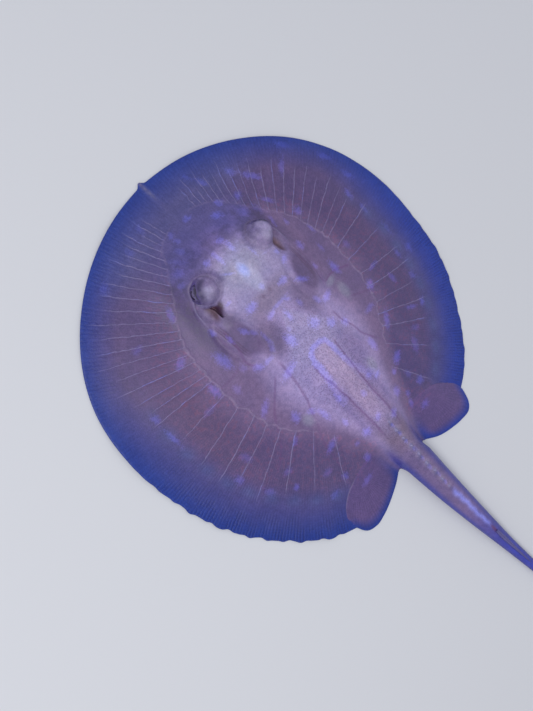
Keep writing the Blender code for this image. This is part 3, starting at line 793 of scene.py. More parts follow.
# Lilac blotches: x, y, length along x, length along y, turn in degrees, strength.
BLOTCHES = (
    (15, -54, 11, 7, 0, 1.1), (8.4, -40.4, 9, 4.5, 18, 0.9), (30.5, -46.5, 4.5, 9, 25, 0.8),
    (26.5, -41, 4, 8, 30, 0.6), (40.8, -48.8, 3.5, 8, 0, 0.8), (45.2, -60.6, 4.5, 8, 0, 0.8),
    (54, -42, 8, 18, 8, 0.9), (40.5, -20, 9, 6, -40, 0.9), (32, -18.4, 11, 4.5, 0, 0.7),
    (22.8, -31, 3.5, 17, 0, 0.6), (25, -23, 4.5, 9, -30, 0.6), (11.5, -17.5, 8, 14, 8, 1.1),
    (27, -2, 16, 7, 20, 0.95), (58, 5, 14, 6, 35, 0.8), (47, 27, 7, 11, -20, 0.9), (36, 33, 6, 8, 40, 0.8),
    (31, 42, 5, 15, 8, 0.8), (14, 41, 8, 16, 0, 1.0), (24, 60, 5, 8, 0, 0.8), (43, 65, 14, 6, 20, 0.8),
    (17, 79, 8, 8, 0, 1.0), (3.5, 76, 8, 5, 40, 0.9), (28, 81, 5, 5, 0, 0.7), (29, 97, 7, 9, 0, 0.8),
    (52, 92, 6, 7, 0, 0.7), (84, 66, 6, 6, 0, 0.8), (108, 28, 7, 8, 0, 0.6), (42, 110, 13, 6, 0, 0.6),
    (55, -90, 5, 13, -25, 0.7), (75, -62, 11, 7, 20, 0.7), (73, -31, 7, 14, 0, 0.8), (115, -48, 6, 9, 0, 0.6),
    (117, -30, 4, 18, 0, 0.6), (14.3, -122, 5, 6, 0, 0.4), (14.3, -97, 6, 5, 0, 0.8),
    (6.5, -94, 4.5, 12, 0, 0.9), (10.4, -82, 10, 2.4, -38, 0.8), (24.7, -67.8, 6, 2.5, 0, 0.7),
    (26, -112, 5, 12, 30, 0.25), (19, -116, 5, 9, 20, 0.35), (72, -135, 10, 6, 35, 0.4),
    (60, 40, 8, 4, 35, 0.7), (88, -90, 10, 6, 0, 0.4), (100, 52, 6, 10, 20, 0.4), (68, 96, 10, 6, 0, 0.4),
    (93, 20, 7, 12, 10, 0.4), (86, -24, 12, 5, 0, 0.4), (80, 52, 9, 6, 0, 0.4), (14, -128, 8, 4, 35, 0.5),
    (25, -146, 5, 9, -10, 0.3), (42, -140, 6, 8, 20, 0.3), (-57, -76, 4, 7, 0, 0.6),
    (-15.7, -50.8, 10, 6, -10, 1.1), (-27.5, -41, 4.5, 13, 48, 1.0), (-50, -57.3, 6, 8, 0, 0.8),
    (-48, -84, 4, 11, -20, 0.7), (-0.7, -59.3, 4, 6, 0, 0.8), (0, -42, 22, 3, 0, 0.7),
    (-7.2, -40.4, 7, 3, -45, 0.8), (0, -31, 4.5, 11, 0, 0.9), (-10.5, -13, 9, 11, 15, 1.1),
    (-21.6, -2, 10, 8, -38, 1.2), (-31.5, 7, 8, 8, -30, 0.9), (-34.7, -16.9, 13, 5.5, 10, 1.0),
    (-26.2, -21.4, 5.5, 9, 20, 0.8), (-58.8, -26, 7, 13, 0, 0.9), (-62.7, -43.6, 3.5, 9, 0, 0.5),
    (-46.4, -38.4, 3.5, 7, 0, 0.6), (-13, -30.6, 4.5, 8, 0, 0.6), (-72, 6, 8, 10, -20, 0.9),
    (-57, 17, 12, 5, 0, 0.7), (-37, 37, 7, 14, 0, 0.9), (-62, 35, 6, 17, -40, 0.75),
    (-16, 48, 9, 9, -30, 0.9), (-21, 54, 8, 6, 0, 0.9), (-1, 54, 6, 7, 0, 0.9), (-35, 67, 6, 6, 0, 0.9),
    (-46, 62, 13, 8, 25, 0.9), (-25, 79, 8, 11, 0, 0.9), (-9, 86, 10, 7, 10, 1.0), (-32, 90, 5, 7, 0, 0.7),
    (-29, 98, 5, 9, -15, 0.7), (-49, 92, 9, 8, 0, 0.9), (-67, 69, 8, 15, -30, 0.5), (-100, 51, 8, 5, 40, 0.8),
    (-38, 110, 10, 7, 0, 0.7), (-93, 17, 6, 10, 0, 0.6), (-87, -2, 13, 4, 0, 0.7), (-82, -30, 6, 9, 0, 0.4),
    (-88, 46, 14, 4, -35, 0.7), (-3.3, -128.5, 8, 5, 0, 0.7), (-19, -115.4, 10, 6, -25, 0.8),
    (-28.8, -120.6, 8, 6, -30, 0.8), (-44.5, -114.8, 9, 6, 20, 0.8), (-33, -140, 5, 12, 25, 0.6),
    (-56, -131, 7, 9, 30, 0.6), (-66, -118, 6, 17, 35, 0.8), (-60, -97, 4.5, 13, 35, 0.7),
    (-72, -75, 8, 8, 30, 0.7), (-90, -107, 15, 5, 40, 0.6), (-4.6, -101.7, 7, 6, 0, 0.8),
    (-6, -94, 4.5, 11, 0, 0.9), (-15, -80.8, 3.5, 10, 0, 0.8), (-23, -74, 9, 3, 5, 0.9),
    (-28.8, -67.8, 5, 5, 0, 0.8), (-29.4, -60, 8, 5, 25, 0.9), (-69, -59, 3.5, 10, 0, 0.6),
    (-36, -104, 9, 12, 30, 0.4), (-117, -55, 5, 10, 0, 0.6), (-118, -38, 4, 12, 0, 0.4),
    (7, -24, 4, 5, 0, 0.5), (-113, 8, 5, 10, 0, 0.5), (-126, 12, 6, 9, 0, 0.5), (-122, -12, 5, 12, 0, 0.35),
    (-110, 30, 7, 8, 0, 0.5), (-28, -150, 4, 9, 15, 0.4), (36, -98, 5, 8, 20, 0.4), (31, -106, 7, 8, 30, 0.4),
    (-47, -99, 7, 10, 20, 0.4), (62, -20, 6, 9, 0, 0.4), (48, -28, 6, 8, 0, 0.4), (-124, -90, 5, 14, 35, 0.5),
    (-129, -66, 5, 13, 20, 0.5), (-103, -118, 5, 14, 40, 0.4), (-44, 80, 6, 10, 0, 0.4),
    (60, 78, 9, 7, 0, 0.4), (-78, 60, 9, 6, -30, 0.4),
)
TAIL_BLOTCHES = (163, 153, 142.4, 131.6, 121, 110.6, 100.6, 91)
# (y, size) of each thorn
THORNS = (
    (86, 0.85), (95.5, 1.2), (105.5, 1.15), (115.5, 1.25), (126, 1.2), (137, 1.2), (147.5, 1.1), (158, 0.95),
    (168, 0.75),
)
RAY_SPACING = 2.6
PELVIC_RAY_SPACING = 2.2
ROW_SPACING = 2.2
PELVIC_RAY_ORIGIN = (44, 98)
MARGIN_REACH = 150

# (y, half width) of bands that lie along the midline
RING_BAND = ((-135, 18), (-110, 42), (-70, 68), (-20, 73), (20, 66), (50, 46), (80, 32), (130, 20))
PALE_BAND = (
    (-125, 18), (-104, 26), (-80, 36), (-55, 38), (-20, 40), (10, 46), (40, 37), (70, 25), (95, 18),
    (130, 13),
)
WEDGE_BAND = ((-38, 1.5), (-24, 10), (-8, 22), (10, 34), (40, 34))
GRAINY_BAND = ((-110, 22), (-90, 34), (-55, 30), (-25, 20), (-5, 30), (15, 36), (40, 32), (70, 19), (110, 13))

# Patches of colour, in the order in which they are laid on. Each has its colour, place, half size,
# turn in degrees, softness of the edge, strength, and whether the other side has one too.
DISC_SHADE_PATCHES = (
    # The first two are painted shade: the right side, away from the light, is made darker at its rear and
    # along its middle.
    ((78, 67, 122), (-66, 74), (34, 40), 30, 0.8, 0.85, False),
    ((86, 71, 120), (-92, -5), (30, 90), 0, 0.7, 0.8, False),
    ((90, 79, 124), (60, 82), (34, 30), -30, 0.8, 0.5, False),
)
HEAD_PATCHES_AND_SHADE = (
    (BROW, (28, -107), (21, 17), 28, 0.6, 0.85, True),
    ((82, 75, 122), (27, -108), (13, 13), 28, 0.7, 0.5, False),
    (BROW, (0, -117), (24, 12), 0, 0.6, 0.8, False),
    (HEAD, (0, -71), (30, 27), 0, 0.45, 0.75, False),
    (FOREHEAD, (0, -80), (17, 14), 0, 0.6, 1, False),
    ((134, 120, 152), (0, -50), (22, 8), 0, 0.6, 0.8, False),
    # Painted shade in the grooves beside the folds: strong on the left, which faces the key lamp, weak on the
    # right, which lies in shade.
    ((80, 66, 112), (48.5, -72), (4.8, 32), -6, 0.6, 0.95, False),
    ((80, 66, 112), (-48.5, -72), (4.8, 32), 6, 0.6, 0.2, False),
    ((80, 68, 112), (42, -98), (6, 14), 30, 0.6, 0.6, True),
    ((82, 66, 114), (56, -87), (8, 18), -33, 0.8, 0.8, False),
    # Painted shade on the head's left slope, darker against the key lamp's sheen there.
    ((104, 86, 130), (55, -68), (8, 20), -12, 0.8, 0.6, False),
    ((132, 114, 152), (-58, -78), (5, 20), 24, 0.7, 0.2, False),
    ((112, 96, 134), (20.5, -31), (10, 15), -12, 0.5, 0.75, True),
    ((104, 88, 128), (22, -26), (7, 11), 0, 0.7, 0.6, False),
    ((110, 98, 134), (30, -57), (5, 6.5), 0, 0.7, 0.7, False),
    ((100, 84, 130), (-64, -20), (9, 90), 0, 0.6, 0.5, False),
)
BACK_PATCHES = (
    ((164, 148, 200), (23, 18), (10, 16), -8, 0.7, 0.7, False),
    ((135, 119, 172), (-23, 22), (9, 18), 8, 0.6, 0.7, False),
)
TOP_PATCHES = (
    (PALE_FLECK, (42, 36), (4, 5), 0, 0.6, 0.55, False),
    (PALE_FLECK, (-51, -9), (4, 7), 0, 0.6, 0.55, False),
    (PALE_FLECK, (-24, 46), (4, 6), 0, 0.6, 0.55, False),
    (PALE_FLECK, (-47, -22), (5, 3), 0, 0.6, 0.55, False),
    (TEARDROP, (0, -71), (5.8, 13.5), 0, 0.4, 0.9, False),
    (CROWN_SPOT, (0.6, -76.6), (3.2, 5.2), 0, 0.6, 1, False),
    ((100, 92, 148), (2, -102), (17, 5), 0, 0.9, 0.55, False),
    ((96, 80, 110), (3.6, -53.5), (1.2, 1.6), 0, 0.6, 0.5, True),
)
# Painted shade in the groove beside the left fold, darker against the key lamp's sheen on that slope, and a
# painted light spot on the fold's side.
FOLD_SHADE_AND_LIGHT = (
    ((56, 38, 92), (49.2, -75), (4.2, 18), -16.7, 0.8, 0.55, False),
    ((138, 126, 168), (42.2, -72.4), (2.6, 6.5), -16.7, 0.8, 0.5, False),
)
SPIRACLE_TONES_AND_SHADE = (
    # The first two darken the left slit: painted shade in the slit.
    ((64, 42, 66), (29.6, -70.6), (2.2, 4.2), -24, 0.6, 0.95, False),
    ((80, 64, 96), (31.4, -64.6), (1.7, 3.6), -14, 0.8, 0.6, False),
    ((98, 86, 120), (33, -60.5), (3.6, 4.6), 0, 0.8, 0.6, False),
    ((140, 112, 122), (-37.2, -71), (2.4, 5), 0, 0.7, 0.45, False),
)
# Painted shade along the left dome's rear, and painted light on the right dome's front, which faces away from
# the key lamp.
DOME_LIGHT_AND_SHADE = (
    ((112, 104, 144), (28, -78.6), (6, 2.6), 0, 0.7, 0.6, False),
    ((166, 156, 196), (-32, -89), (4, 4.4), 0, 0.7, 0.85, False),
)
DOME_TOP = (28.2, -84.6)


def rgb(red, green, blue):
    """A colour's linear values."""
    shares = (red / 255, green / 255, blue / 255)
    return [v / 12.92 if v <= 0.04045 else ((v + 0.055) / 1.055) ** 2.4 for v in shares]


def paint(tone, colour, mask):
    tone += (np.array(rgb(*colour)) - tone) * np.clip(mask, 0, 1)[:, None]


def spot(x, y, place, half_size, turn, soft):
    """1 in an oval's middle and 0 outside it, with an edge as soft as asked."""
    return fade(1 - soft, 1 + soft, oval(x, y, place, half_size, turn))


def paint_patches(tone, x, y, patches):
    for colour, place, half_size, turn, soft, strength, mirrored in patches:
        across = np.abs(x) if mirrored else x
        paint(tone, colour, spot(across, y, place, half_size, turn, soft) * strength)


def skin_tones(plan, points, upper):
    """The skin's broad colours, for each point."""
    x, y = plan.T
    ax = np.abs(x)
    share, bearing = margin_share(x, y), bearing_of(x, y)
    signed_across = tail_across(x, y)
    across = np.abs(signed_across)
    on_tail = ease(TAIL_START_Y - 8, TAIL_JOIN_Y, y) * fade(0.95, 1.25, across)
    off_tail = 1 - ease(80, 100, y) * fade(1.0, 1.5, across)
    tone = np.tile(np.array(rgb(*MID_DISC)), (len(x), 1))
    paint(tone, (104, 82, 118), hump(bearing, 75, 30) * hump(share, 0.62, 0.14) * 0.6)
    # Painted shade, mostly on the right side.
    paint_patches(tone, x, y, DISC_SHADE_PATCHES)
    paint(tone, BY_RING, fade(0.86, 1.25, ax / curve(RING_BAND, y)) * ease(-128, -104, y))
    paint(tone, BACK, fade(0.68, 1.25, ax / curve(PALE_BAND, y)) * ease(-106, -88, y))
    paint(tone, SNOUT, fade(-136, -112, y) * fade(50, 95, ax) * 0.9)
    # Among these, painted shade on the head's sides.
    paint_patches(tone, x, y, HEAD_PATCHES_AND_SHADE)
    wedge = fade(0.7, 1.1, ax / curve(WEDGE_BAND, y)) * window(y, -40, -32, 4, 34)
    paint(tone, (164, 153, 200), wedge)
    paint(tone, GILL_PAD, fade(0.55, 0.95, gill_pad_distance(x, y)))
    paint_patches(tone, x, y, BACK_PATCHES)
    paint(tone, (164, 146, 188), fade(5.5, 9, ax) * window(y, -2, 8, 60, 92))
    paint(tone, (184, 165, 206), fade(4.5, 8, ax) * window(y, -2, 6, 18, 42))
    paint(tone, (134, 112, 156), hump(ax, 10.5, 2.6) * window(y, 30, 50, 78, 98) * 0.6)
    paint(tone, (118, 102, 158), hump(ax, 16, 3.4) * window(y, 20, 40, 80, 100) * 0.5)
    paint(tone, REAR_BACK, fade(10, 20, ax) * ease(72, 100, y) * off_tail)
    paint(tone, REAR_BACK, fade(0.5, 1, across) * window(y, 80, 100, 112, 126))
    paint_patches(tone, x, y, TOP_PATCHES)

    # The margin's blue is partly painted light: the blue seen through the thin, translucent margin is painted
    # into its colour.
    front = fade(50, 80, bearing)
    start = 0.71 + 0.14 * front
    paint(tone, RIM_SEEN_THROUGH, np.clip((share - start) / (0.99 - start), 0, 1) * (1 - 0.08 * front) * off_tail)
    paint(tone, RIM_RIGHT_SEEN_THROUGH, ease(0.8, 0.95, share) * (x < 0) * ease(50, 90, bearing) * 0.55 * off_tail)
    band = (1 - front) * off_tail * (0.3 + 0.2 * np.sin(bearing * 0.7))
    paint(tone, RIM_BAND, hump(share, 0.79, 0.03) * band)
    paint(tone, RIM_EDGE_SEEN_THROUGH, ease(0.91, 1.0, share) * (0.5 - 0.3 * front) * off_tail)
    paint(tone, (112, 112, 158), hump(x, 0, 1.1) * fade(-160, -150, y))
    paint(tone, PELVIC, in_pelvic(x, y) * off_tail * fade(0.92, 1.0, share) * ease(18, 30, ax))

    paint(tone, TAIL_BACK, on_tail)
    paint(tone, TAIL_TIP, on_tail * ease(185, 262, y))
    paint(tone, TAIL_FLANK, on_tail * ease(0.3, 0.75, -signed_across) * 0.9)
    paint(tone, TAIL_FLANK, on_tail * ease(0.62, 0.98, signed_across))
    stripe_middle = -0.02 + 0.03 * np.sin(y * 0.22) + 0.04 * np.sin(y * 0.61)
    paint(tone, TAIL_STRIPE, hump(signed_across, stripe_middle, 0.2) * window(y, 170, 178, 220, 230) * 0.9)
    paint(tone, THORN_BAND, hump(x - tail_middle(y), 0, 2.4) * window(y, 80, 90, 160, 174) * 0.7)
    for thorn_y, size in THORNS:
        thorn_x = float(tail_middle(thorn_y))
        behind, round_it = (thorn_x + 0.4, thorn_y + 3.0), (thorn_x - 0.2, thorn_y)
        # Painted shadow: a dark spot just behind each thorn.
        paint(tone, (70, 76, 140), spot(x, y, behind, (1.5 * size, 1.6 * size), 0, 0.6) * 0.7)
        paint(tone, (160, 152, 190), spot(x, y, round_it, (2.4 * size, 2.8 * size), 0, 0.6) * 0.3)
    paint(tone, STING_PIT, spot(x, y, (float(tail_middle(231)), 231), (1.3, 5.0), 0, 0.5) * 0.85)
    return upper_tones(tone, plan, points) if upper else lower_tones(tone, plan)


def upper_tones(tone, plan, points):
    """Colours of the orbits, the spiracles and the folds behind them, with painted shade in the eye sockets,
    slits and furrows, and painted light and shade on the domes and beside the fold.
    """
    x, y = plan.T
    left = x > 0
    d = spiracle_distance(x, y)
    inner = fade(-0.4, 0.3, (np.abs(x) - SPIRACLE_PLACE[0]) / SPIRACLE_HALF_SIZE[0])
    fold, furrows = gill_folds(x, y)
    paint(tone, FUNNEL, fade(0.5, 1.0, d))
    paint(tone, FUNNEL_INNER, fade(0.6, 1.0, d) * inner)
    # Painted shade in the spiracle's slit; the right slit is nearly shut and only faintly darkened.
    paint(tone, SLIT_SHADE, ease(0.1, 0.6, slit_share(x, y)) * np.where(x < 0, RIGHT_SLIT_OPEN, 1))
    paint(tone, FOLD, fold / GILL_FOLD_HEIGHT * 0.8)
    # Painted shade in the furrows beside the gills.
    paint(tone, FURROW_SHADE, furrows * 0.55)
    # Painted shade and light beside the left fold.
    paint_patches(tone, x, y, FOLD_SHADE_AND_LIGHT)

    px, py, pz = points.T
    on_orbit = fade(ORBIT_PATCH_RADIUS - 3, ORBIT_PATCH_RADIUS - 0.5, from_orbit(x, y))
    out_x, out_y = np.abs(px) - DOME_TOP[0], py - DOME_TOP[1]
    from_top = np.hypot(out_x, out_y)

    def facing(ahead_x, ahead_y):
        """1 on the dome's side that looks in a direction and -1 on the other."""
        return (ahead_x * out_x + ahead_y * out_y) / np.maximum(from_top, 0.1)

    paint(tone, LID, on_orbit)
    # Painted light: each dome's inner side is lighter than its outer side, as if lit.
    paint(tone, LID_INNER_LIGHT, on_orbit * fade(-9, 1, out_x - 0.5 * out_y) * 0.8)
    # A pale spot on each dome's top: a painted highlight from the light above, laid over the lid's pale skin.
    paint(tone, LID_TOP_HIGHLIGHT, spot(np.abs(px), py, (30.4, -82.6), (4.6, 4.6), 0, 0.5) * on_orbit)
    # Among these, painted shade along the left slit.
    paint_patches(tone, x, y, SPIRACLE_TONES_AND_SHADE)
    outward = np.where(left, facing(0.75, -0.66), facing(0.1, -1))
    crescent = hump(from_top, np.where(left, 7.4, 9.2), np.where(left, 2.5, 2.1)) * ease(0.0, 0.8, outward)
    paint(tone, DOME_SHADE, crescent * np.where(left, 0.95, 0.9))
    # Painted shade: a dark halo round the front and inner side of each dome.
    halo_shade = hump(from_top, 11.6, 3.2) * ease(0.1, 0.75, facing(-0.72, -0.69))
    paint(tone, DOME_HALO_SHADE, halo_shade * np.where(left, 0.85, 0.45))
    # Painted shade and light on the domes.
    paint_patches(tone, px, py, DOME_LIGHT_AND_SHADE)
    # Painted light: the crease round each dome's inner side is lightened against the shade that falls in it.
    paint(tone, DOME_RIM_LIGHT, hump(from_top, 9.8, 1.6) * ease(0.1, 0.9, -out_x) * 0.5)

    offset = np.column_stack((np.abs(px), py, pz)) - EYE_PLACE
    near_eye = np.linalg.norm(offset, axis=1) < EYE_RADIUS + 2.6
    shut = np.where(near_eye, lid_distance(offset), 9.0)
    paint(tone, LID_DARK, hump(shut, 0.98, 0.3) * near_eye)
    paint(tone, LID_EDGE, hump(shut, 1.2, 0.09) * near_eye * 0.25)
    # Painted shade: the skin inside the lids' opening, round the eyeball, is made near black.
    paint(tone, SOCKET_SHADE, fade(0.85, 0.97, shut) * near_eye)
    return tone


def lower_tones(tone, plan):
    """Colours of the belly and its pits, laid over the rest."""
    x, y = plan.T
    on_tail = ease(TAIL_START_Y, TAIL_JOIN_Y, y) * (np.abs(tail_across(x, y)) < 1.2)
    tone[:] = rgb(*BELLY)
    paint(tone, BELLY_RIM, ease(0.74, 0.96, margin_share(x, y)) * (1 - on_tail))
    paint(tone, BELLY_TAIL, on_tail)
    for place, _, stained, turn, _, strength in belly_pits():
        paint(tone, MOUTH_LINING, in_pit(x, y, place, stained, turn) * strength)
    return tone


def on_side(x, side):
    """Which places lie on a side of the body, 1 for the left and -1 for the right."""
    return (x >= 0) if side == 1 else (x < 0)


def canal_phase(x, y):
    """Grows by 1 from each canal to the next on the same side, from the snout back; and the bearing."""
    middle = -28 + 23 * ease(-40, 20, y)
    bearing = np.degrees(np.arctan2(np.abs(x), -(y - middle)))
    phase = np.zeros(len(x))
    for side, rear in REAR_CANALS.items():
        here = on_side(x, side)
        bearings = np.array((0, *FRONT_CANALS, *rear, LAST_CANAL), float)
        numbers = np.r_[-0.5, np.arange(len(bearings) - 1)]
        phase[here] = np.interp(bearing[here], bearings, numbers)
    return phase, bearing


def canal_field(x, y):
    """Phase of the canals, their spacing, where they show, and what lies outside the ring."""
    phase, bearing = canal_phase(x, y)
    slope_x = (canal_phase(x + 1, y)[0] - canal_phase(x - 1, y)[0]) / 2
    slope_y = (canal_phase(x, y + 1)[0] - canal_phase(x, y - 1)[0]) / 2
    gap = 1 / np.maximum(np.hypot(slope_x, slope_y), 0.02)
    share = margin_share(x, y)
    mask, outside = np.zeros(len(x)), np.zeros(len(x))
    for side, ring in CANAL_RING.items():
        here = on_side(x, side)
        signed = along_path(x, y, side, ring, 2.5, 250.0)[0]
        ending = curve(CANAL_REACH[side], bearing) + 0.03 * np.sin(phase * 2.4)
        shows = fade(ending - 0.06, ending + 0.02, share) * window(bearing, 6, 8, 158, LAST_CANAL)
        outside[here] = ease(-1.0, 1.0, -signed)[here]
        mask[here] = (outside * shows)[here]
    mask *= 0.82 + 0.18 * np.sin(np.round(phase) * 2.1)
    return phase, gap, mask, outside


def ring_field(x, y):
    """Signed distance to the ring canal, and its size, which is larger past the ring's ends."""
    ring_signed, ring_near = np.full(len(x), 14.0), np.full(len(x), 14.0)
    for side, ring in CANAL_RING.items():
        signed, near, place = along_path(x, y, side, ring)
        here = x * side >= 0
        ends = 4 * ease(0.78, 0.95, place) + 4 * fade(0.03, 0.07, place)
        ring_signed[here], ring_near[here] = signed[here], (near + ends)[here]
    return ring_signed, ring_near


def vessel_field(x, y):
    """The nearest vessel's signed distance, size and strength."""
    best = np.full(len(x), 6.0)
    signed, strength = best.copy(), np.zeros(len(x))
    for side, power, points in VESSELS:
        across, near, place = along_path(x, y, side, points, 1.5, 6.0)
        closer = near < best
        new_strength = power * window(place, 0, 0.08, 0.85, 1.0)
        for old, new in ((best, near), (signed, across), (strength, new_strength)):
            np.copyto(old, new, where=closer)
    return signed, best, strength


def blotch_field(x, y):
    """Above 0 inside the lilac blotches, and their strength."""
    field, strength = np.full(len(x), -1.0), np.zeros(len(x))

    def add(inside, power):
        closer = inside > field
        np.copyto(field, inside, where=closer)
        np.copyto(strength, power, where=closer)

    for place_x, place_y, size_x, size_y, turn, power in BLOTCHES:
        add(1 - oval(x, y, (place_x, place_y), (size_x / 2, size_y / 2), turn), power)
    for side, points in HAIRPIN.items():
        near, place = along_path(x, y, side, points, 1.0, 6.0)[1:]
        fading = ease(0.35, 0.95, place) if side == 1 else ease(0.15, 0.7, place)
        add(np.where(x * side >= -0.01, 1 - near / (2.3 + 1.2 * place), -9), 1.2 - 0.8 * fading)
    for blotch_y in TAIL_BLOTCHES:
        blotch_x = float(tail_middle(blotch_y)) - 0.7 * math.sin(blotch_y)
        add(1 - oval(x, y, (blotch_x, blotch_y), (2.0, 3.0)), 0.75)
    return np.clip(field, -1, 1), strength


def ray_field(x, y, upper):
    """Phase of the fins' rays and where they show."""
    bearing, share = bearing_of(x, y), margin_share(x, y)
    pectoral = np.radians(bearing) * MARGIN_REACH / RAY_SPACING
    dx, dy = np.abs(x) - PELVIC_RAY_ORIGIN[0], y - PELVIC_RAY_ORIGIN[1]
    pelvic = np.arctan2(dx, dy) * 34 / PELVIC_RAY_SPACING
    inside = in_pelvic(x, y)
    rear = ease(70, 110, bearing)
    mask = (0.16 + 0.12 * rear) * ease(0.45, 0.7, share) + (0.16 + 0.5 * rear) * ease(0.84, 0.95, share)
    mask = np.where(inside, 0.4 * ease(0.62, 0.85, share), mask)
    mask = mask * ease(17, 30, np.abs(x) + np.clip(60 - y, 0, 40))
    mask = mask * ease(1.0, 2.4 + 4 * (1 - upper), from_pelvic_front(x, y) - 2 * (1 - upper))
    mask = mask * (1 - ease(TAIL_JOIN_Y - 2, TAIL_JOIN_Y, y) * (np.abs(tail_across(x, y)) < 1.4))
    return np.where(inside, pelvic, pectoral), mask


def keep_numbers(mesh, name, *columns):
    """Keeps up to three numbers for each point, under one name."""
    columns += (np.zeros(len(mesh.vertices)),) * (3 - len(columns))
    layer = mesh.attributes.new(name, "FLOAT_VECTOR", "POINT")
    layer.data.foreach_set("vector", np.column_stack(columns).astype(np.float32).ravel())


def mark_skin(skin, plan, upper):
    """Keeps on the skin's points what its markings follow."""
    mesh = skin.data
    points = np.empty(len(mesh.vertices) * 3)
    mesh.vertices.foreach_get("co", points)
    points = points.reshape(-1, 3) / UNIT
    x, y = plan.T
    above = upper * 1.0
    tone = np.ones((len(x), 4))
    for half, is_upper in ((upper, True), (~upper, False)):
        tone[half, :3] = skin_tones(plan[half], points[half], is_upper)
    layer = mesh.attributes.new("tone", "FLOAT_COLOR", "POINT")
    layer.data.foreach_set("color", tone.astype(np.float32).ravel())

    phase, gap, mask, outside = canal_field(x, y)
    keep_numbers(mesh, "canal", phase, gap, mask * above)
    signed, near = ring_field(x, y)
    scalloped = np.clip(signed + 0.7 * np.cos(2 * math.pi * phase) * ease(-60, -40, y), -6, 6)
    keep_numbers(mesh, "ring", scalloped, near, above * (0.3 + 0.7 * ease(-108, -62, y)))
    signed, near, strength = vessel_field(x, y)
    keep_numbers(mesh, "vessel", signed, near, strength * above)
    blotch, strength = blotch_field(x, y)
    off_orbit = ease(ORBIT_PATCH_RADIUS - 1, ORBIT_PATCH_RADIUS + 3, from_orbit(x, y))
    keep_numbers(mesh, "blotch", blotch, strength * above * off_orbit)
    ray_phase, ray_mask = ray_field(x, y, above)
    share = margin_share(x, y)
    keep_numbers(mesh, "ray", ray_phase, ray_mask, share * MARGIN_REACH / ROW_SPACING)
    back = fade(0.6, 1.2, np.abs(x) / curve(GRAINY_BAND, y)) * (0.35 + 0.65 * ease(-50, -20, y))
    back = back * window(y, -112, -96, 110, 200)
    flesh = window(share, 0.3, 0.5, 0.66, 0.8) * fade(120, 130, y) * outside
    keep_numbers(mesh, "texture", back * above, flesh * above, above)
    brow = window(y, -120, -108, -96, -70) * (1 - outside)
    weave = outside * (0.2 + 0.8 * ease(60, 100, bearing_of(x, y)))
    keep_numbers(mesh, "cover", brow * above, weave * above)


# ==== Materials ===============================================================================
class Value:
    """A number or a colour that a material works out; numbers go into sums as usual."""

    def __init__(self, socket):
        self.socket = socket

    def __add__(self, other):
        return work_out("ADD", self, other)

    def __sub__(self, other):
        return work_out("SUBTRACT", self, other)

    def __rsub__(self, other):
        return work_out("SUBTRACT", other, self)

    def __mul__(self, other):
        return work_out("MULTIPLY", self, other)

    def __truediv__(self, other):
        return work_out("DIVIDE", self, other)

    def __abs__(self):
        return work_out("ABSOLUTE", self)

    def clamped(self):
        """The same number, kept between 0 and 1."""
        self.socket.node.use_clamp = True
        return self

    def smooth(self, low, high, to_low=0.0, to_high=1.0):
        """Goes smoothly from one number to another while this one goes from low to high."""
        inputs = {"Value": self, "From Min": low, "From Max": high, "To Min": to_low, "To Max": to_high}
        node = add_node(self.socket.id_data, "MapRange", inputs, interpolation_type="SMOOTHSTEP")
        return Value(node.outputs[0])


def add_node(tree, kind, inputs=(), **settings):
    """A new node with its settings, and with what its inputs are given by name or number."""
    node = tree.nodes.new("ShaderNode" + kind)
    for name, setting in settings.items():
        setattr(node, name, setting)
    for key, value in dict(inputs).items():
        socket = node.inputs[key]
        if isinstance(value, Value):
            tree.links.new(value.socket, socket)
        else:
            socket.default_value = (*value, 1) if socket.type == "RGBA" else value
    return node


def tree_of(*values):
    return next(value.socket.id_data for value in values if isinstance(value, Value))


def work_out(operation, *values):
    """The result of one operation on numbers, at least one of which is a Value."""
    node = add_node(tree_of(*values), "Math", enumerate(values), operation=operation)
    return Value(node.outputs[0])


def mix(blend, factor, a, b):
    """Two colours blended, at least one of the three inputs being a Value."""
    inputs = {0: factor, 6: a, 7: b}
    node = add_node(tree_of(factor, a, b), "Mix", inputs, data_type="RGBA", blend_type=blend)
    return Value(node.outputs[2])


class Surface:
    """A material under construction, with what it can read at each place."""

    def __init__(self, name, constants):
        self.material = bpy.data.materials.new(name)
        self.material.use_nodes = True
        self.tree = self.material.node_tree
        self.shader = self.tree.nodes["Principled BSDF"]
        for key, value in constants.items():
            self.shader.inputs[key].default_value = value
        place = Value(add_node(self.tree, "TexCoord").outputs["Object"])
        scaled = add_node(self.tree, "VectorMath", {0: place, "Scale": 1 / UNIT}, operation="SCALE")
        self.place = Value(scaled.outputs[0])

    def numbers(self, name):
        """The three numbers that the points keep under a name."""
        node = add_node(self.tree, "Attribute", attribute_name=name)
        parts = add_node(self.tree, "SeparateXYZ", {0: Value(node.outputs["Vector"])})
        return [Value(part) for part in parts.outputs]

    def noise(self, scale, detail, roughness=0.5):
        inputs = {"Scale": scale, "Detail": detail, "Roughness": roughness, "Vector": self.place}
        return Value(add_node(self.tree, "TexNoise", inputs).outputs["Fac"])

    def cells(self, scale):
        inputs = {"Scale": scale, "Vector": self.place}
        return Value(add_node(self.tree, "TexVoronoi", inputs).outputs["Distance"])

    def finish(self, colour, roughness, height=None, depth=0.0):
        """Gives the shader its colour and roughness, and a relief of the depth where there is one."""
        found = {"Base Color": colour, "Roughness": roughness}
        if height:
            inputs = {"Strength": 1.0, "Distance": depth * UNIT, "Height": height}
            found["Normal"] = Value(add_node(self.tree, "Bump", inputs).outputs[0])
        for key, value in found.items():
            self.tree.links.new(value.socket, self.shader.inputs[key])
        return self.material


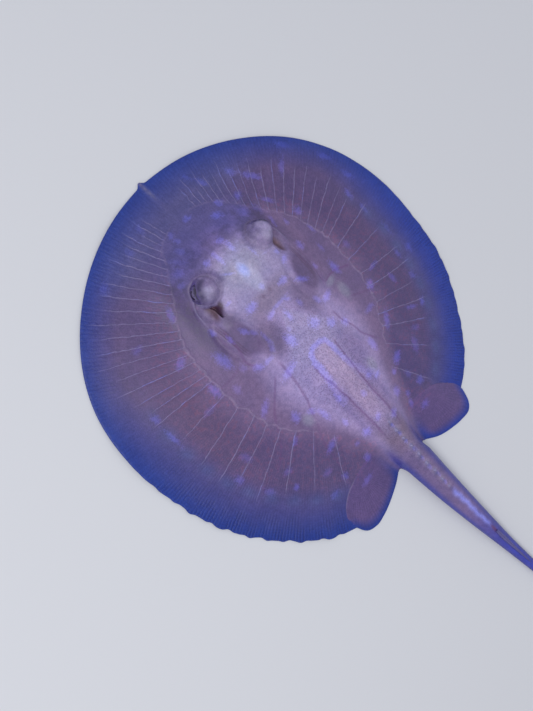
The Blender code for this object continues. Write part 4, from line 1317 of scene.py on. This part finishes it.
def skin_material():
    """Moist skin: broad colours, with texture and markings worked out from what the points keep."""
    s = Surface("wet_skin", {
        "Coat Weight": 0.08, "Coat Roughness": 0.25, "Specular IOR Level": 0.35, "Subsurface Weight": 0.12,
        "Subsurface Radius": (1.0, 0.6, 0.7), "Subsurface Scale": 3 * UNIT,
    })
    wander = s.noise(0.16, 2.0) - 0.5
    bend = s.noise(0.055, 1.0) - 0.5
    patchy = s.noise(0.06, 2.0, 0.6)
    clouds = s.noise(0.13, 3.0, 0.6)
    grain = s.noise(0.9, 3.0, 0.6)
    speckle = s.noise(0.32, 2.0, 0.65)
    in_back, in_flesh, above = s.numbers("texture")
    in_brow, in_weave, _ = s.numbers("cover")

    phase, gap, canal_mask = s.numbers("canal")
    moved = phase + (wander + bend) * 1.6 / gap
    off_canal = abs(work_out("FRACT", moved + 0.5) - 0.5) * gap
    canal = off_canal.smooth(0.12, 0.6, 1, 0) * canal_mask * speckle.smooth(0.3, 0.6, 0.5, 1.0)
    off_shade = abs(work_out("FRACT", moved + 0.36) - 0.5) * gap
    shade = off_shade.smooth(0.3, 1.6, 1, 0) * canal_mask * patchy.smooth(0.35, 0.65)

    ring_side, ring_near, ring_on = s.numbers("ring")
    ring = abs(ring_side + wander * 5.0).smooth(0.2, 1.25, 1, 0) * ring_near.smooth(3.0, 5.0, 1, 0)
    ring = ring * ring_on * speckle.smooth(0.35, 0.6, 0.45, 1.0)

    vessel_side, vessel_near, vessel_strength = s.numbers("vessel")
    vessel = abs(vessel_side + bend * 4.0).smooth(0.15, 1.45, 1, 0) * vessel_near.smooth(2.6, 4.0, 1, 0)
    vessel = (vessel * vessel_strength).clamped()

    blotch, blotch_strength, _ = s.numbers("blotch")
    ragged = blotch + (speckle - 0.5) * 1.1 + (grain - 0.5) * 1.6
    blotch = ragged.smooth(-0.35, 0.8) * blotch_strength

    ray_phase, ray_mask, row_phase = s.numbers("ray")
    ray = work_out("SINE", (ray_phase + (speckle - 0.5) * 0.9) * (2 * math.pi))
    ray = ray.smooth(-0.5, 1.0) * ray_mask * clouds.smooth(0.34, 0.62, 0.35, 1.35)
    row = work_out("SINE", (row_phase + wander) * (2 * math.pi))
    row = (row.smooth(-0.3, 1.0) * ray_mask).clamped() * in_weave
    dots = s.cells(0.85).smooth(0.14, 0.52, 1, 0)

    # Texture multiplies the broad colours; the markings are then laid over them.
    grained = mix("MIX", grain, (0.72, 0.71, 0.74), (1.3, 1.28, 1.25))
    mottled = mix("MIX", patchy.smooth(0.3, 0.7), (0.9, 0.91, 0.95), (1.1, 1.07, 1.04))
    dotted = mix("MIX", dots, (1.03, 1.03, 1.02), (0.84, 0.8, 0.85))
    cloudy = mix("MIX", clouds.smooth(0.38, 0.62), (0.86, 0.84, 0.88), (1.16, 1.12, 1.2))
    patched = mix("MIX", speckle.smooth(0.3, 0.7), (0.9, 0.9, 0.92), (1.12, 1.11, 1.08))
    colour = Value(add_node(s.tree, "Attribute", attribute_name="tone").outputs["Color"])
    for strength, factor in (
        (1.0, grained),
        (above.smooth(0, 1, 0.35, 1.0), mottled),
        (speckle.smooth(0.45, 0.75) * in_flesh, (1.22, 0.9, 0.86)),
        (ray * speckle.smooth(0.3, 0.6, 0.4, 1.0), (0.62, 0.66, 0.76)),
        (shade * 0.5, (0.78, 0.62, 0.72)),
        (row * 0.5, (0.78, 0.78, 0.84)),
        (in_back, dotted),
        (in_brow, cloudy),
        (above, patched),
    ):
        colour = mix("MULTIPLY", strength, colour, factor)
    colour = mix("MIX", vessel * 0.5, colour, rgb(106, 64, 122))
    colour = mix("ADD", blotch, colour, (0.035, 0.045, 0.28))
    colour = mix("MIX", ring * 0.45, colour, rgb(154, 136, 172))
    # The canals' pale colour, with bluish-white patches that are painted glints.
    canal_paint_and_glint = mix("MIX", patchy.smooth(0.52, 0.64), rgb(150, 141, 188), rgb(138, 146, 232))
    colour = mix("MIX", canal * 0.55, colour, canal_paint_and_glint)

    granules = (1.0 - dots) * in_back
    height = canal * 0.5 + ring * 0.6 - ray * 0.4 + granules * 0.6 + grain * 0.35
    return s.finish(colour, speckle.smooth(0.2, 0.8, 0.34, 0.5), height, 0.5)


def eye_material():
    """A dark pupil under the flap that hangs over it, and a streaked iris."""
    s = Surface("eye", {"Coat Weight": 0.22, "Coat Roughness": 0.06})
    aside, above, _ = s.numbers("gaze")
    streaks = s.noise(0.9, 3.0, 0.6)

    def from_middle(middle, half_width, half_height):
        wide, tall = aside / half_width, (above - middle) / half_height
        return work_out("SQRT", wide * wide + tall * tall)

    pupil = from_middle(-0.02, 0.44, 0.3)
    flap = from_middle(0.28, 0.3, 0.3).smooth(0.92, 1.04, 1, 0)
    hole = (pupil.smooth(0.9, 1.06, 1, 0) - flap).clamped() * above.smooth(0.05, 0.2, 1, 0)
    iris = mix("MIX", streaks.smooth(0.35, 0.65), rgb(70, 60, 102), rgb(112, 102, 146))
    iris = mix("MIX", from_middle(0.0, 1.0, 1.0).smooth(0.62, 0.86), iris, rgb(40, 30, 58))
    iris = mix("MIX", pupil.smooth(1.0, 1.25, 0.3, 0.0), iris, rgb(130, 120, 146))
    # The iris's top is darkened: partly painted shade under the upper lid, partly the iris's own darker top.
    iris = mix("MIX", above.smooth(0.15, 0.5), iris, rgb(44, 36, 62))
    roughness = streaks.smooth(0.2, 0.8, 0.1, 0.22) + above.smooth(0.2, 0.6, 0.0, 0.35)
    return s.finish(mix("MIX", hole, iris, rgb(14, 9, 18)), roughness)


def sting_material():
    s = Surface("sting", {"Coat Weight": 0.25, "Coat Roughness": 0.2})
    along = s.noise(0.5, 3.0, 0.6)
    core = s.numbers("form")[1]
    colour = mix("MIX", along.smooth(0.3, 0.7), rgb(78, 74, 138), rgb(98, 92, 154))
    colour = mix("MIX", core * 0.5, colour, rgb(78, 66, 116))
    return s.finish(colour, along.smooth(0.2, 0.8, 0.32, 0.5), s.noise(2.2, 3.0) + core * -0.6, 0.15)


def thorn_material():
    s = Surface("thorns", {"Coat Weight": 0.2, "Coat Roughness": 0.2})
    tip = s.numbers("form")[1]
    grain = s.noise(1.4, 3.0, 0.6)
    colour = mix("MIX", grain.smooth(0.3, 0.7), rgb(112, 102, 150), rgb(142, 134, 182))
    colour = mix("MIX", tip.smooth(0.35, 1.0), colour, rgb(154, 146, 186))
    return s.finish(colour, grain.smooth(0.2, 0.8, 0.3, 0.45), grain, 0.1)


# ==== Eyes, sting and thorns ==================================================================
EYE_RINGS = 40
EYE_SPOKES = 72
EYE_CLEARANCE = 0.15
CORNEA_BULGE = 0.45
PUPIL_TURN_BACK = 6
STING_BASE_Y = 234
STING_LENGTH = 52
STING_HALF_WIDTH = 1.7
STING_THICKNESS = 1.3
STING_BARBS = 22
STING_ROWS = 300
THORN_SPOKES = 16
# (radius, height) of a thorn's rings, from its foot to its tip
THORN_PROFILE = ((1.5, -0.25), (1.15, 0.02), (0.8, 0.22), (0.5, 0.55), (0.28, 0.95), (0.1, 1.3))


def wall(rings, spokes, first=0):
    """Quads between rings of points."""
    faces = []
    for i in range(rings - 1):
        for j in range(spokes):
            a, b = first + i * spokes + j, first + i * spokes + (j + 1) % spokes
            faces.append((a, b, b + spokes, a + spokes))
    return faces


def closed_wall(rings, spokes, first=0):
    """The same, with a face over each end."""
    bottom = [first + j for j in reversed(range(spokes))]
    return wall(rings, spokes, first) + [bottom, [first + (rings - 1) * spokes + j for j in range(spokes)]]


def add_piece(name, points, faces, material, field, values):
    """A smooth piece with one material, whose points keep the field's values."""
    mesh = bpy.data.meshes.new(name)
    mesh.from_pydata((np.array(points) * UNIT).tolist(), [], faces)
    mesh.validate()
    mesh.shade_smooth()
    keep_numbers(mesh, field, *np.array(values, float).T)
    mesh.materials.append(material)
    piece = bpy.data.objects.new(name, mesh)
    bpy.context.scene.collection.objects.link(piece)
    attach(piece, "root")
    return piece


def build_eye(node, name, side, material):
    """An eyeball with its poles along its line of sight, and a low bulge for the cornea."""
    low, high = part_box(node)
    middle = (np.array(low) + np.array(high)) / 2 / UNIT
    forward, up = math.radians(EYE_TURN_FORWARD - PUPIL_TURN_BACK), math.radians(EYE_TILT_UP)
    sight = Vector((side * math.cos(forward) * math.cos(up), -math.sin(forward) * math.cos(up), math.sin(up)))
    aside = Vector((0, 0, 1)).cross(sight).normalized()
    above = sight.cross(aside)
    points, gaze = [], []
    for i in range(EYE_RINGS + 1):
        polar = math.pi * i / EYE_RINGS
        size = EYE_RADIUS - EYE_CLEARANCE + CORNEA_BULGE * math.exp(-((polar / 0.55) ** 4))
        for j in range(EYE_SPOKES):
            turn = 2 * math.pi * j / EYE_SPOKES
            u, v = math.sin(polar) * math.cos(turn), math.sin(polar) * math.sin(turn)
            points.append(middle + size * np.array(sight * math.cos(polar) + aside * u + above * v))
            gaze.append((u, v) if polar < math.pi / 2 else (2 * np.sign(u), 2))
    faces = [face[::-1] for face in wall(EYE_RINGS + 1, EYE_SPOKES)]
    piece = add_piece(name, points, faces, material, "gaze", gaze)
    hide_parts(node)
    clean = bmesh.new()
    clean.from_mesh(piece.data)
    bmesh.ops.remove_doubles(clean, verts=clean.verts, dist=1e-7)
    clean.to_mesh(piece.data)
    clean.free()


def build_sting(material):
    """The tail's spine: a flat blade with a groove along its back and barbs that point to its root."""
    points, form = [], []
    across = np.linspace(-1, 1, 13)
    top = STING_THICKNESS * np.sqrt(np.clip(1 - across**2, 0, 1)) * (1 - 0.35 * hump(across, 0, 0.25))
    for i in range(STING_ROWS + 1):
        share = i / STING_ROWS
        y = STING_BASE_Y + STING_LENGTH * share
        taper = (1 - share**1.6) * (0.75 + 0.25 * ease(0, 0.12, share)) + 0.05
        saw = (share * STING_BARBS) % 1
        barb = 1 + 0.34 * saw**1.5 * window(share, 0.1, 0.25, 0.93, 1.0)
        centre, low = float(tail_middle(y)), float(curve(TAIL, y, 2)) + 0.28
        for a, t in zip(across, top):
            outward = barb if abs(a) > 0.9 else 1
            points.append((centre + a * STING_HALF_WIDTH * taper * outward, y, low + t * taper))
            form.append((share, float(hump(a, 0, 0.2))))
        for a in across[-2:0:-1]:
            points.append((centre + a * STING_HALF_WIDTH * taper, y, low - 0.2 * taper * (1 - a * a)))
            form.append((share, 0))
    faces = closed_wall(STING_ROWS + 1, 2 * len(across) - 2)
    piece = add_piece("tail_sting", points, faces, material, "form", form)
    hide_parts("sting")


def build_thorns(material):
    """The row of low curved thorns along the middle of the back and the tail's root."""
    points, faces, form = [], [], []
    rings = len(THORN_PROFILE)
    for y, size in THORNS:
        x = float(tail_middle(y)) + RNG.uniform(-0.5, 0.5)
        ground = float(skin_points(np.array([x]), np.array([float(y)]), True)[0, 2])
        faces += closed_wall(rings, THORN_SPOKES, len(points))
        for level, (wide, tall) in enumerate(THORN_PROFILE):
            lean = 0.55 * max(tall, 0) ** 1.5
            for j in range(THORN_SPOKES):
                turn = 2 * math.pi * j / THORN_SPOKES
                far = wide * (1 + (0.16 * math.cos(turn * 5) if level < 3 else 0))
                place = (far * math.cos(turn), 1.3 * far * math.sin(turn) + lean, 0.8 * tall)
                points.append(np.array((x, y, ground)) + size * np.array(place))
                form.append((0, level / (rings - 1)))
    piece = add_piece("thorns", points, faces, material, "form", form)


# ==== The stage ===============================================================================
FLOOR_HALF_SIZE = 6.0


def area_light(name, place, size, power):
    """A round light over the stage that looks at the animal's middle."""
    light = bpy.data.lights.new(name, "AREA")
    light.shape = "DISK"
    light.size = size
    light.energy = power
    lamp = bpy.data.objects.new(name, light)
    lamp.location = place
    lamp.rotation_euler = (-Vector(place)).to_track_quat("-Z", "Y").to_euler()
    bpy.context.scene.collection.objects.link(lamp)


def build_stage():
    """The floor, the light from all round and the two lamps."""
    scene = bpy.context.scene
    scene.view_settings.view_transform = "Standard"
    world = bpy.data.worlds.new("studio")
    world.use_nodes = True
    sky = world.node_tree.nodes["Background"].inputs
    sky["Color"].default_value = (0.9, 0.92, 1.0, 1)
    sky["Strength"].default_value = 0.6
    scene.world = world
    mesh = bpy.data.meshes.new("floor")
    corners = [(FLOOR_HALF_SIZE * a, FLOOR_HALF_SIZE * b, 0) for a, b in ((-1, -1), (1, -1), (1, 1), (-1, 1))]
    mesh.from_pydata(corners, [], [(0, 1, 2, 3)])
    floor = bpy.data.objects.new("floor", mesh)
    scene.collection.objects.link(floor)
    material = bpy.data.materials.new("floor")
    material.use_nodes = True
    shader = material.node_tree.nodes["Principled BSDF"].inputs
    shader["Base Color"].default_value = (0.72, 0.73, 0.76, 1)
    shader["Roughness"].default_value = 0.9
    mesh.materials.append(material)
    area_light("key", (0.75, -0.25, 1.0), 0.6, 5.2)
    area_light("fill", (-0.9, 0.4, 0.9), 1.2, 1.4)


CAMERA_BEARING = 48.0
CAMERA_HEIGHT_ANGLE = 71.6
CAMERA_ROLL = 84.6
CAMERA_DISTANCE = 406
CAMERA_TARGET = (25, -17, 0)
CAMERA_LENS_MM = 27.0


def build_camera():
    """A view on the animal's back, by bearing, height angle and roll about the line of sight."""
    az, el, roll = (math.radians(a) for a in (CAMERA_BEARING, CAMERA_HEIGHT_ANGLE, CAMERA_ROLL))
    back = Vector((math.sin(az) * math.cos(el), -math.cos(az) * math.cos(el), math.sin(el)))
    right = (-back).cross(Vector((0, 0, 1))).normalized()
    up = right.cross(-back)
    across = math.cos(roll) * right + math.sin(roll) * up
    upward = -math.sin(roll) * right + math.cos(roll) * up
    camera = bpy.data.objects.new("camera", bpy.data.cameras.new("camera"))
    camera.data.lens = CAMERA_LENS_MM
    camera.data.sensor_width = 36
    turn = Matrix((across, upward, back)).transposed().to_4x4()
    camera.matrix_world = Matrix.Translation((Vector(CAMERA_TARGET) + back * CAMERA_DISTANCE) * UNIT) @ turn
    camera.data.clip_start = 0.01
    bpy.context.scene.collection.objects.link(camera)
    bpy.context.scene.camera = camera


SKIN_NODES = (
    "head", "trunk", "pectoral_fin_left", "pectoral_fin_right", "pelvic_fin_left", "pelvic_fin_right",
    "tail_base", "tail_middle", "tail_tip",
)

build_stage()
build_camera()
skin, skin_plan, upper_side = build_skin()
mark_skin(skin, skin_plan, upper_side)
skin.data.materials.append(skin_material())
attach(skin, "root")
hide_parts(*SKIN_NODES)
eye_paint = eye_material()
build_eye("eye_left", "eyeball_left", 1, eye_paint)
build_eye("eye_right", "eyeball_right", -1, eye_paint)
build_sting(sting_material())
build_thorns(thorn_material())
